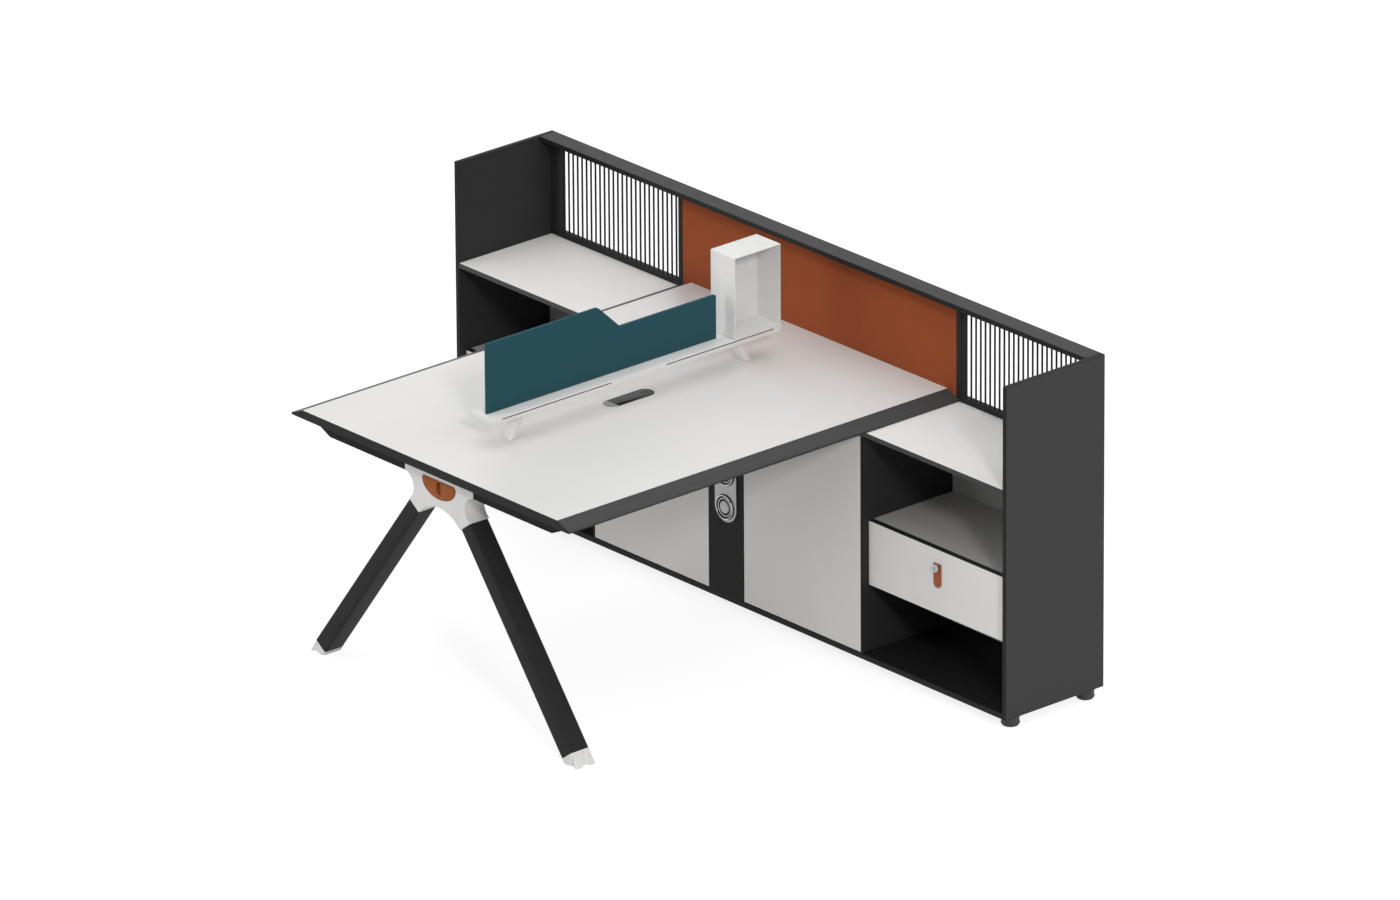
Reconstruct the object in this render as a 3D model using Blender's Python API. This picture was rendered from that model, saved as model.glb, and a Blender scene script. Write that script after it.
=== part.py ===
"""Office workstation.

A long storage cabinet carries a back screen and the rear end of a shared desk. The desk's
front stands on one inverted V leg, and a raised bridge shelf stands on the desk.
Metres, +Z up, +X along the cabinet, the desk reaches towards -Y. The origin is the bottom
centre of the whole piece of furniture.
"""
import math

import bmesh
import bpy
from mathutils import Vector

# Clearances
GAP = 0.0003
DOOR_GAP = 0.0017
FLAP_GAP = 0.0005

# Cabinet carcass
CABINET_LENGTH = 2.400
CABINET_DEPTH = 0.380
CABINET_HEIGHT = 1.055
SIDE_THICKNESS = 0.015
BOARD = 0.018
TOP_BOARD = 0.015
BACK_RECESS = 0.012
BAY_WIDTH = 0.595
EDGE_EASE = 0.0008

# Feet of the cabinet
FOOT_HEIGHT = 0.031
FOOT_RADIUS = 0.0275
FOOT_END_INSET = 0.029
FOOT_FRONT_INSET = 0.045

# Centre column and its cable outlets
COLUMN_WIDTH = 0.150
CABLE_PASS_WIDTH = 0.120
CABLE_PASS_DROP = 0.022
OUTLET_PLATE_WIDTH = 0.093
OUTLET_PLATE_THICKNESS = 0.003
OUTLET_PITCH = 0.106
OUTLET_CENTRE_Z = 0.3785
OUTLET_RADIUS = 0.037
OUTLET_RIM = 0.005
OUTLET_GROOVE = 0.005
OUTLET_RING = 0.004
OUTLET_BASE = 0.0015
OUTLET_LIP = 0.005

# Doors on pivot pins, beside rebated partitions
DOOR_THICKNESS = 0.018
DOOR_LIP = 0.004
DOOR_EDGE_CLEARANCE = 0.0028
DOOR_BACK_CLEARANCE = 0.0024
PIVOT_EDGE = 0.007
PIVOT_DEPTH = 0.006
PIVOT_RADIUS = 0.0025
PIVOT_REACH = 0.010

# Drawers
DRAWER_SETBACK = 0.023
DRAWER_TOP = 0.458
DRAWER_HEIGHT = 0.200
DRAWER_BOX_WALL = 0.012
DRAWER_BOTTOM = 0.008
DRAWER_BOX_CLEARANCE = 0.005
DRAWER_BACK_SPACE = 0.010
RUNNER_FIXED = 0.007
RUNNER_MOVING = 0.0054
RUNNER_HEIGHT = 0.030
RUNNER_RISE = 0.044

# Leather pulls and drawer locks
PULL_WIDTH = 0.032
PULL_LENGTH = 0.075
PULL_THICKNESS = 0.003
PULL_TOP_DROP = 0.043
PULL_SHOULDER = 0.006
LOCK_DROP = 0.0125
LOCK_HEAD_RADIUS = 0.012
LOCK_HEAD_HEIGHT = 0.010
LOCK_BARREL_RADIUS = 0.0095
LOCK_BEVEL = 0.0015
LOCK_KEYWAY_WIDTH = 0.0022
LOCK_KEYWAY_LENGTH = 0.011
CAM_LENGTH = 0.048
CAM_WIDTH = 0.014
CAM_THICKNESS = 0.002
CAM_SCREW_LENGTH = 0.002
CAM_CLEARANCE = 0.001

# Back screen
SCREEN_SETBACK = 0.359
TOP_BEAM_HEIGHT = 0.015
TOP_BEAM_DEPTH = 0.061
GRILLE_DEPTH = 0.0207
GRILLE_BOTTOM_RAIL = 0.017
GRILLE_TOP_RAIL = 0.0237
GRILLE_INNER_POST = 0.0185
GRILLE_OUTER_POST = 0.0367
ROD_RADIUS = 0.003
ROD_PITCH = 0.020
ROD_MARGIN = 0.017
ROD_SETBACK = 0.008
ROD_ROOT = 0.003
CENTRE_PANEL_WIDTH = 1.1904
CENTRE_PANEL_THICKNESS = 0.012

# Desk
DESK_REACH = 1.124
DESK_HEIGHT = 0.7653
DESK_THICKNESS = 0.027
LAMINATE_WIDTH = 1.114
LAMINATE_THICKNESS = 0.0008
LAMINATE_FRONT_INSET = 0.0008
BEVEL_RUN = 0.0505
BEVEL_DROP = 0.0205

# Desk underframe
CROSSBEAM_SETBACK = 0.041
CROSSBEAM_DEPTH = 0.060
CROSSBEAM_HEIGHT = 0.0454
CROSSBEAM_TOP_LENGTH = 1.167
CROSSBEAM_BOTTOM_LENGTH = 0.972
BEAM_WALL = 0.002
CHANNEL_WIDTH = 0.144
BRACKET_WALL = 0.005
BRACKET_SHELF = 0.080
BRACKET_DROP = 0.090

# Inverted V leg
CONNECTOR_SETBACK = 0.0365
CONNECTOR_DEPTH = 0.074
FLARE_WIDTH = 0.298
FLARE_DROP = 0.042
SCOOP_RISE = 0.029
SOCKET_X = 0.112
SOCKET_DROP = 0.168
SOCKET_WIDTH = 0.053
ARCH_RISE = 0.041
LEG_ANGLE = math.radians(36.9)
LEG_WIDTH = 0.049
LEG_DEPTH = 0.072
LEG_WALL = 0.0025
LEG_CORNER = 0.008
SPIGOT_LENGTH = 0.030
SPIGOT_ROOT = 0.006
FOOT_HEEL_HEIGHT = 0.0115
FOOT_TOE_REACH = 0.0304

# Insert in the connector
INSERT_WIDTH = 0.146
INSERT_TOP_DROP = 0.032
INSERT_SHOULDER = 0.006
INSERT_DROP = 0.052
INSERT_POCKET = 0.003
INSERT_THICKNESS = 0.0045
INSERT_SLOT_WIDTH = 0.008
INSERT_SLOT_LENGTH = 0.028
INSERT_SLOT_DEPTH = 0.002

# Cable grommet in the desk
GROMMET_SETBACK = 0.754
GROMMET_LENGTH = 0.179
GROMMET_WIDTH = 0.055
GROMMET_WALL = 0.004
GROMMET_CAP = 0.030
GROMMET_PROUD = 0.001
FLAP_THICKNESS = 0.0022
FLAP_SLOT = 0.013

# Bridge shelf
BRIDGE_FRONT_SETBACK = 0.202
BRIDGE_LENGTH = 1.092
BRIDGE_WIDTH = 0.105
BRIDGE_THICKNESS = 0.0187
BRIDGE_HEIGHT = 0.0972
BRIDGE_SLOT_LENGTH = 0.413
BRIDGE_SLOT_INSET = 0.029
BRIDGE_SLOT_HEIGHT = 0.0025
BRIDGE_SLOT_DEPTH = 0.005
BRIDGE_SLOT_DROP = 0.0033
BRIDGE_LEG_WIDTH = 0.037
BRIDGE_LEG_THICKNESS = 0.0205
BRIDGE_LEG_SPLAY = 0.041
BRIDGE_LEG_INSET = 0.1285

# Desk screen on the bridge
PANEL_THICKNESS = 0.010
PANEL_LENGTH = 0.870
PANEL_FRONT_INSET = 0.014
PANEL_TALL = 0.214
PANEL_LOW = 0.1352
PANEL_TALL_LENGTH = 0.421
PANEL_SLOPE_RUN = 0.083
PANEL_TONGUE = 0.006
PANEL_CORNER = 0.006
PANEL_APEX_RADIUS = 0.022

# Open box on the bridge
BOX_LENGTH = 0.178
BOX_HEIGHT = 0.252
BOX_WALL = 0.0025
BOX_END_INSET = 0.001

# Heights and planes that follow from the sizes above
CABINET_FRONT = (DESK_REACH - CABINET_DEPTH) / 2
CABINET_BACK = CABINET_FRONT + CABINET_DEPTH
DESK_FRONT = CABINET_FRONT - DESK_REACH
SCREEN_FRONT = CABINET_FRONT + SCREEN_SETBACK
DESK_WIDTH = LAMINATE_WIDTH + 2 * BEVEL_RUN
DESK_UNDERSIDE = DESK_HEIGHT - DESK_THICKNESS
STORAGE_TOP = DESK_UNDERSIDE - GAP
HALF_LENGTH = CABINET_LENGTH / 2
SIDE_FACE = HALF_LENGTH - SIDE_THICKNESS
BAY_FACE = SIDE_FACE - BAY_WIDTH
PARTITION_FACE = BAY_FACE - BOARD
BOTTOM_TOP = FOOT_HEIGHT + BOARD
TOP_UNDERSIDE = STORAGE_TOP - TOP_BOARD
INNER_LOW = BOTTOM_TOP + GAP
INNER_HIGH = TOP_UNDERSIDE - GAP
BACK_FACE = CABINET_BACK - BACK_RECESS - BOARD
INNER_BACK = BACK_FACE - GAP
BEAM_UNDERSIDE = CABINET_HEIGHT - TOP_BEAM_HEIGHT
SCREEN_LOW = STORAGE_TOP + GAP
SCREEN_HIGH = BEAM_UNDERSIDE - GAP
BEAM_TOP = DESK_UNDERSIDE - GAP
BEAM_BOTTOM = BEAM_TOP - CROSSBEAM_HEIGHT
CROSSBEAM_FRONT = DESK_FRONT + CROSSBEAM_SETBACK
CROSSBEAM_BACK = CROSSBEAM_FRONT + CROSSBEAM_DEPTH
CONNECTOR_FRONT = DESK_FRONT + CONNECTOR_SETBACK
CONNECTOR_BACK = CONNECTOR_FRONT + CONNECTOR_DEPTH
CONNECTOR_MIDDLE = (CONNECTOR_FRONT + CONNECTOR_BACK) / 2
SOCKET_Z = DESK_HEIGHT - SOCKET_DROP
LEG_DROP = SOCKET_Z - FOOT_HEEL_HEIGHT - LEG_WIDTH / 2 * math.sin(LEG_ANGLE)
LEG_LENGTH = LEG_DROP / math.cos(LEG_ANGLE)
BRIDGE_TOP = DESK_HEIGHT + BRIDGE_HEIGHT
BRIDGE_UNDERSIDE = BRIDGE_TOP - BRIDGE_THICKNESS
BRIDGE_FRONT = DESK_FRONT + BRIDGE_FRONT_SETBACK
BRIDGE_BACK = BRIDGE_FRONT + BRIDGE_LENGTH
SIDES = (("left", -1), ("right", 1))


def clear_scene():
    for old in list(bpy.data.objects):
        bpy.data.objects.remove(old, do_unlink=True)


def make_material(name, color, roughness, metallic=0.0):
    made = bpy.data.materials.new(name)
    made.use_nodes = True
    shader = made.node_tree.nodes["Principled BSDF"]
    shader.inputs["Base Color"].default_value = (*color, 1.0)
    shader.inputs["Roughness"].default_value = roughness
    shader.inputs["Metallic"].default_value = metallic
    return made


def add_object(name, bm, material, location=(0, 0, 0), parent=None, smooth=False):
    """Turns a bmesh, built around its own origin, into a named object."""
    bmesh.ops.recalc_face_normals(bm, faces=bm.faces)
    mesh = bpy.data.meshes.new(name)
    bm.to_mesh(mesh)
    bm.free()
    if smooth:
        mesh.shade_smooth()
        mesh.set_sharp_from_angle(angle=math.radians(35))
    made = bpy.data.objects.new(name, mesh)
    if material:
        mesh.materials.append(material)
    bpy.context.collection.objects.link(made)
    made.location = Vector(location)
    if parent:
        made.parent = parent
        made.location -= parent.location
    return made


def add_axis(name, location, parent=None):
    """An empty on a joint's axis, which the moving pieces hang from."""
    made = bpy.data.objects.new(name, None)
    made.empty_display_size = 0.03
    bpy.context.collection.objects.link(made)
    made.location = Vector(location)
    if parent:
        made.parent = parent
        made.location -= parent.location
    return made


def block(name, material, x, y, z, ease=0.0, parent=None):
    """A box between the given ranges, with its edges eased by a Bevel."""
    centre = Vector(((x[0] + x[1]) / 2, (y[0] + y[1]) / 2, (z[0] + z[1]) / 2))
    size = Vector((x[1] - x[0], y[1] - y[0], z[1] - z[0]))
    bm = bmesh.new()
    bmesh.ops.create_cube(bm, size=1.0)
    bmesh.ops.scale(bm, vec=size, verts=bm.verts)
    made = add_object(name, bm, material, centre, parent)
    if ease:
        bevel = made.modifiers.new("eased_edges", "BEVEL")
        bevel.width = ease
        bevel.segments = 1
    return made


def prism(name, material, outline, axis, low, high, parent=None, smooth=False):
    """Extrudes an outline along X, Y or Z. The outline gives the other two coordinates."""
    places = {
        "x": lambda u, v, t: (t, u, v),
        "y": lambda u, v, t: (u, t, v),
        "z": lambda u, v, t: (u, v, t),
    }
    place = places[axis]
    bm = bmesh.new()
    face = bm.faces.new([bm.verts.new(place(u, v, low)) for u, v in outline])
    grown = bmesh.ops.extrude_face_region(bm, geom=[face])["geom"]
    moved = [item for item in grown if isinstance(item, bmesh.types.BMVert)]
    bmesh.ops.translate(bm, vec=place(0, 0, high - low), verts=moved)
    return add_object(name, bm, material, (0, 0, 0), parent, smooth)


def tube(name, material, axis, outer, inner, low, high, end_shift=None):
    """A hollow bar from two loops of as many points, swept from low to high."""
    places = {
        "x": lambda u, v, t: (t, u, v),
        "y": lambda u, v, t: (u, t, v),
        "z": lambda u, v, t: (u, v, t),
    }
    place = places[axis]
    shift = end_shift if end_shift else (lambda u, v: 0.0)
    bm = bmesh.new()
    rings = []
    for station, sign in ((low, -1), (high, 1)):
        for loop in (outer, inner):
            points = [place(u, v, station + sign * shift(u, v)) for u, v in loop]
            rings.append([bm.verts.new(point) for point in points])
    outer_low, inner_low, outer_high, inner_high = rings
    pairs = ((outer_low, outer_high), (inner_low, inner_high), (outer_low, inner_low),
             (outer_high, inner_high))
    for first, second in pairs:
        for index in range(len(outer)):
            after = (index + 1) % len(outer)
            bm.faces.new((first[index], first[after], second[after], second[index]))
    return add_object(name, bm, material)


def turned(name, material, profile, centre, axis_sign, sides, parent=None):
    """Turns a profile of (radius, height) points about Y. It starts and ends on the axis."""
    bm = bmesh.new()
    rings = []
    for radius, height in profile:
        if radius == 0:
            rings.append([bm.verts.new((0, axis_sign * height, 0))])
            continue
        angles = [2 * math.pi * step / sides for step in range(sides)]
        ring = [(radius * math.cos(a), axis_sign * height, radius * math.sin(a)) for a in angles]
        rings.append([bm.verts.new(point) for point in ring])
    for first, second in zip(rings, rings[1:]):
        for index in range(sides):
            after = (index + 1) % sides
            corners = [first[index % len(first)], first[after % len(first)]]
            corners += [second[after % len(second)], second[index % len(second)]]
            bm.faces.new(list(dict.fromkeys(corners)))
    return add_object(name, bm, material, centre, parent, smooth=True)


def post(name, material, centre, radius, height, sides, parent=None):
    """An upright cylinder that stands on its centre point."""
    bm = bmesh.new()
    bmesh.ops.create_cone(
        bm, cap_ends=True, segments=sides, radius1=radius, radius2=radius, depth=height)
    bmesh.ops.translate(bm, vec=(0, 0, height / 2), verts=bm.verts)
    return add_object(name, bm, material, centre, parent, smooth=True)


def posts(name, centres, radius, height, sides):
    """Equal upright cylinders, to join onto a piece or cut out of it."""
    bm = bmesh.new()
    for centre in centres:
        made = bmesh.ops.create_cone(
            bm, cap_ends=True, segments=sides, radius1=radius, radius2=radius, depth=height)
        bmesh.ops.translate(bm, vec=Vector(centre) + Vector((0, 0, height / 2)), verts=made["verts"])
    return add_object(name, bm, None, smooth=True)


def blocks(name, boxes):
    """Boxes to join onto a piece or cut out of it."""
    bm = bmesh.new()
    for x, y, z in boxes:
        made = bmesh.ops.create_cube(bm, size=1.0)
        size = (x[1] - x[0], y[1] - y[0], z[1] - z[0])
        centre = ((x[0] + x[1]) / 2, (y[0] + y[1]) / 2, (z[0] + z[1]) / 2)
        bmesh.ops.scale(bm, vec=size, verts=made["verts"])
        bmesh.ops.translate(bm, vec=centre, verts=made["verts"])
    return add_object(name, bm, None)


def combine(target, tool, operation):
    """Cuts the tool out of the target, or joins it on, and hides the tool."""
    change = target.modifiers.new(operation.lower(), "BOOLEAN")
    change.operation = operation
    change.solver = "EXACT"
    change.object = tool
    tool.hide_render = True
    tool.display_type = "WIRE"


def mirrored(side, near, far):
    """The X range between two distances from the centre, on one side of it."""
    return tuple(sorted((side * near, side * far)))


def arc(start, end, rise, steps):
    """Points after start, up to and with end, on an arc that bulges left of start to end."""
    start = Vector(start)
    end = Vector(end)
    half = (end - start).length / 2
    radius = (half * half + rise * rise) / (2 * rise)
    along = (end - start).normalized()
    left = Vector((-along.y, along.x))
    centre = (start + end) / 2 + left * (rise - radius)
    sweep = 2 * math.asin(min(1.0, half / radius))
    if rise > half:
        sweep = 2 * math.pi - sweep
    points = []
    for step in range(1, steps + 1):
        angle = -sweep * step / steps
        arm = start - centre
        turned_arm = Vector((
            arm.x * math.cos(angle) - arm.y * math.sin(angle),
            arm.x * math.sin(angle) + arm.y * math.cos(angle)))
        points.append(tuple(centre + turned_arm))
    return points


def rounded(corners, steps):
    """An outline from (u, v, radius) corners, each with its own round."""
    points = []
    count = len(corners)
    for index, (u, v, radius) in enumerate(corners):
        corner = Vector((u, v))
        if radius == 0:
            points.append((u, v))
            continue
        before = Vector(corners[index - 1][:2]) - corner
        after = Vector(corners[(index + 1) % count][:2]) - corner
        opening = before.angle(after)
        reach = radius / math.tan(opening / 2)
        first = corner + before.normalized() * reach
        last = corner + after.normalized() * reach
        inwards = (before.normalized() + after.normalized()).normalized()
        middle = corner + inwards * radius / math.sin(opening / 2)
        start = math.atan2(first.y - middle.y, first.x - middle.x)
        sweep = math.atan2(last.y - middle.y, last.x - middle.x) - start
        sweep = (sweep + math.pi) % (2 * math.pi) - math.pi
        for step in range(steps + 1):
            angle = start + sweep * step / steps
            points.append((middle.x + radius * math.cos(angle), middle.y + radius * math.sin(angle)))
    return points


def stadium(width, length, centre, steps):
    """A long hole or plate with round ends, its length along the second coordinate."""
    radius = width / 2
    straight = length / 2 - radius
    points = []
    for end, start in ((1, 0.0), (-1, math.pi)):
        for step in range(steps + 1):
            angle = start + math.pi * step / steps
            points.append((
                centre[0] + radius * math.cos(angle),
                centre[1] + end * straight + radius * math.sin(angle)))
    return points


def rectangle(width, height):
    half_u = width / 2
    half_v = height / 2
    return [(-half_u, -half_v), (half_u, -half_v), (half_u, half_v), (-half_u, half_v)]


def shifted(points, du, dv):
    return [(u + du, v + dv) for u, v in points]


GRAPHITE = (0.035, 0.035, 0.037)
WHITE = (0.78, 0.77, 0.76)
ENAMEL = (0.85, 0.85, 0.85)


def make_materials():
    return {
        "board_dark": make_material("board_dark", GRAPHITE, 0.5),
        "board_white": make_material("board_white", WHITE, 0.45),
        "metal_dark": make_material("metal_dark", (0.012, 0.012, 0.013), 0.4, 0.2),
        "metal_white": make_material("metal_white", ENAMEL, 0.4),
        "plastic_dark": make_material("plastic_dark", (0.03, 0.03, 0.03), 0.6),
        "plastic_grey": make_material("plastic_grey", (0.35, 0.35, 0.35), 0.45),
        "zinc": make_material("zinc", (0.45, 0.45, 0.45), 0.3, 1.0),
        "chrome": make_material("chrome", (0.7, 0.7, 0.7), 0.12, 1.0),
        "panel_orange": make_material("panel_orange", (0.24, 0.06, 0.021), 0.8),
        "panel_teal": make_material("panel_teal", (0.026, 0.078, 0.1), 0.8),
        "plastic_orange": make_material("plastic_orange", (0.4, 0.1, 0.02), 0.5),
        "leather": make_material("leather", (0.42, 0.1, 0.03), 0.6),
    }


def cabinet_carcass(looks):
    dark = looks["board_dark"]
    white = looks["board_white"]
    joint_x = BAY_FACE - BOARD / 2
    depth = (CABINET_FRONT, CABINET_BACK)
    for name, side in SIDES:
        block(f"{name}_side_panel", dark, mirrored(side, SIDE_FACE, HALF_LENGTH), depth,
              (FOOT_HEIGHT, CABINET_HEIGHT), EDGE_EASE)
        block(f"{name}_top_board", white, mirrored(side, joint_x + GAP, SIDE_FACE - GAP), depth,
              (TOP_UNDERSIDE, STORAGE_TOP), EDGE_EASE)
        partition(name, side, dark)
    inside = (-SIDE_FACE + GAP, SIDE_FACE - GAP)
    block("back_panel", white, inside, (BACK_FACE, BACK_FACE + BOARD), (INNER_LOW, INNER_HIGH))
    bottom = block("bottom_board", dark, inside, depth, (FOOT_HEIGHT, BOTTOM_TOP), EDGE_EASE)
    centre_top = block("centre_top_board", dark, (-joint_x, joint_x), depth, (TOP_UNDERSIDE, STORAGE_TOP))
    for name, side in SIDES:
        combine(bottom, pivot_bore(f"{name}_bottom_bore", side, BOTTOM_TOP - PIVOT_REACH), "DIFFERENCE")
        combine(centre_top, pivot_bore(f"{name}_top_bore", side, TOP_UNDERSIDE - PIVOT_REACH + GAP),
                "DIFFERENCE")


def partition(name, side, material):
    """A partition with a rebate at its front edge, where the door's outer edge turns."""
    rebate = CABINET_FRONT + DOOR_THICKNESS + DOOR_BACK_CLEARANCE
    lip = BAY_FACE - DOOR_LIP
    plan = [
        (PARTITION_FACE, rebate), (lip, rebate), (lip, CABINET_FRONT),
        (BAY_FACE, CABINET_FRONT), (BAY_FACE, INNER_BACK), (PARTITION_FACE, INNER_BACK)]
    prism(f"{name}_partition", material, [(side * u, v) for u, v in plan], "z", INNER_LOW, INNER_HIGH)


def cabinet_feet(looks):
    """A round foot under each corner and one under the middle of the bottom board."""
    for name, side in SIDES:
        x = side * (HALF_LENGTH - FOOT_END_INSET)
        cabinet_foot(f"front_{name}_foot", x, CABINET_FRONT + FOOT_FRONT_INSET, looks)
        cabinet_foot(f"rear_{name}_foot", x, CABINET_BACK - FOOT_FRONT_INSET, looks)
    cabinet_foot("centre_foot", 0, (CABINET_FRONT + CABINET_BACK) / 2, looks)


def cabinet_foot(name, x, y, looks):
    post(name, looks["plastic_dark"], (x, y, 0), FOOT_RADIUS, FOOT_HEIGHT - GAP, 24)


def outlet_profile():
    """The outlet's rings from the rim to the middle disc, as radius and height."""
    rim = OUTLET_RADIUS
    ring_out = rim - OUTLET_RIM - OUTLET_GROOVE
    ring_in = ring_out - OUTLET_RING
    disc = ring_in - OUTLET_GROOVE
    return [
        (0, 0), (rim, 0), (rim, OUTLET_LIP), (rim - OUTLET_RIM, OUTLET_LIP),
        (rim - OUTLET_RIM, OUTLET_BASE), (ring_out, OUTLET_BASE), (ring_out, OUTLET_LIP),
        (ring_in, OUTLET_LIP), (ring_in, OUTLET_BASE), (disc, OUTLET_BASE),
        (disc, OUTLET_LIP), (0, OUTLET_LIP)]


def centre_column(looks):
    dark = looks["board_dark"]
    half = COLUMN_WIDTH / 2
    cover_back = CABINET_FRONT + BOARD
    cover = block("column_cover", dark, (-half, half), (CABINET_FRONT, cover_back), (INNER_LOW, INNER_HIGH))
    cable_pass = block("cable_pass", None, (-CABLE_PASS_WIDTH / 2, CABLE_PASS_WIDTH / 2),
                       (CABINET_FRONT - BOARD, cover_back + BOARD),
                       (INNER_HIGH - CABLE_PASS_DROP, INNER_HIGH + BOARD))
    combine(cover, cable_pass, "DIFFERENCE")
    for name, side in SIDES:
        block(f"{name}_column_side", dark, mirrored(side, half - BOARD, half),
              (cover_back + GAP, INNER_BACK), (INNER_LOW, INNER_HIGH))
    plate_back = CABINET_FRONT - GAP
    plate_front = plate_back - OUTLET_PLATE_THICKNESS
    outline = stadium(
        OUTLET_PLATE_WIDTH, OUTLET_PITCH + OUTLET_PLATE_WIDTH, (0, OUTLET_CENTRE_Z), 12)
    prism("outlet_plate", looks["zinc"], outline, "y", plate_front, plate_back, smooth=True)
    for name, level in (("lower", -1), ("upper", 1)):
        spot = (0, plate_front - GAP, OUTLET_CENTRE_Z + level * OUTLET_PITCH / 2)
        turned(f"{name}_outlet", looks["zinc"], outlet_profile(), spot, -1, 28)


def pivot_place(side):
    """The door's pivot axis, near its outer front edge."""
    edge = BAY_FACE - DOOR_LIP - DOOR_EDGE_CLEARANCE
    return side * (edge - PIVOT_EDGE), CABINET_FRONT + PIVOT_DEPTH


def pivot_bore(name, side, low):
    """A cutter for a pivot pin's bore in a board."""
    x, y = pivot_place(side)
    return post(name, None, (x, y, low - GAP), PIVOT_RADIUS + GAP, 2 * PIVOT_REACH, 12)


def doors(looks):
    """Each door turns on two steel pins, pressed into its edges and seated in the boards."""
    low = BOTTOM_TOP + DOOR_GAP
    high = TOP_UNDERSIDE - DOOR_GAP
    outer = BAY_FACE - DOOR_LIP - DOOR_EDGE_CLEARANCE
    inner = COLUMN_WIDTH / 2 + DOOR_GAP
    for name, side in SIDES:
        x, y = pivot_place(side)
        axis = add_axis(f"{name}_door_axis", (x, y, low))
        leaf = block(f"{name}_door", looks["board_white"], mirrored(side, inner, outer),
                     (CABINET_FRONT, CABINET_FRONT + DOOR_THICKNESS), (low, high), EDGE_EASE, axis)
        pins = posts(f"{name}_door_pins", [
            (x, y, BOTTOM_TOP - PIVOT_REACH + GAP), (x, y, TOP_UNDERSIDE - PIVOT_REACH - GAP)],
            PIVOT_RADIUS, 2 * PIVOT_REACH, 12)
        combine(leaf, pins, "UNION")


def drawers(looks):
    for name, side in SIDES:
        drawer_bay(name, side, looks)


def drawer_bay(name, side, looks):
    """One drawer with its shelf, base board, runners, leather pull and lock."""
    bay = mirrored(side, BAY_FACE + GAP, SIDE_FACE - GAP)
    centre_x = (bay[0] + bay[1]) / 2
    front_face = CABINET_FRONT + DRAWER_SETBACK
    front_back = front_face + BOARD
    shelf_depth = (front_back + GAP, INNER_BACK)
    drawer_low = DRAWER_TOP - DRAWER_HEIGHT
    shelf_low = DRAWER_TOP - BOARD
    base_top = drawer_low + BOARD
    lock_z = DRAWER_TOP - PULL_TOP_DROP - LOCK_DROP
    shelf = block(f"{name}_drawer_shelf", looks["board_white"], bay, shelf_depth, (shelf_low, DRAWER_TOP))
    swing = math.hypot(CAM_LENGTH, CAM_WIDTH / 2)
    chord = math.sqrt(max(swing ** 2 - (shelf_low - lock_z) ** 2, 0)) + CAM_CLEARANCE
    strike = block(f"{name}_cam_strike", None, (centre_x - chord, centre_x + chord),
                   (front_back - BOARD, front_back + GAP + CAM_THICKNESS + 2 * CAM_CLEARANCE),
                   (shelf_low - BOARD, lock_z + swing + CAM_CLEARANCE))
    combine(shelf, strike, "DIFFERENCE")
    block(f"{name}_drawer_base", looks["board_dark"], bay, shelf_depth, (drawer_low, base_top))

    axis = add_axis(f"{name}_drawer_axis", (centre_x, front_face, drawer_low))
    front = block(f"{name}_drawer_front", looks["board_white"],
                  (bay[0] + DOOR_GAP, bay[1] - DOOR_GAP), (front_face, front_back),
                  (drawer_low, DRAWER_TOP), EDGE_EASE, axis)

    slide_in = RUNNER_FIXED + GAP
    wall_in = slide_in + RUNNER_MOVING
    box = (bay[0] + wall_in, bay[1] - wall_in)
    box_depth = (front_back + GAP, INNER_BACK - DRAWER_BACK_SPACE)
    box_height = (base_top + DRAWER_BOX_CLEARANCE, shelf_low - DRAWER_BOX_CLEARANCE)
    tray = block(f"{name}_drawer_box", looks["metal_white"], box, box_depth, box_height, 0, axis)
    hollow = block(f"{name}_drawer_hollow", None,
                   (box[0] + DRAWER_BOX_WALL, box[1] - DRAWER_BOX_WALL),
                   (box_depth[0] - BOARD, box_depth[1] - DRAWER_BOX_WALL),
                   (box_height[0] + DRAWER_BOTTOM, box_height[1] + BOARD))
    combine(tray, hollow, "DIFFERENCE")
    runner_z = (base_top + RUNNER_RISE, base_top + RUNNER_RISE + RUNNER_HEIGHT)
    root = DRAWER_BOX_WALL / 2
    slides = blocks(f"{name}_moving_slides", [
        ((bay[0] + slide_in, box[0] + root), box_depth, runner_z),
        ((box[1] - root, bay[1] - slide_in), box_depth, runner_z)])
    combine(tray, slides, "UNION")
    for hand, x in (("left", (bay[0], bay[0] + RUNNER_FIXED)), ("right", (bay[1] - RUNNER_FIXED, bay[1]))):
        block(f"{name}_drawer_{hand}_runner", looks["zinc"], x, shelf_depth, runner_z)
    pull_and_lock(name, centre_x, front_face, front, lock_z, axis, looks)


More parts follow.
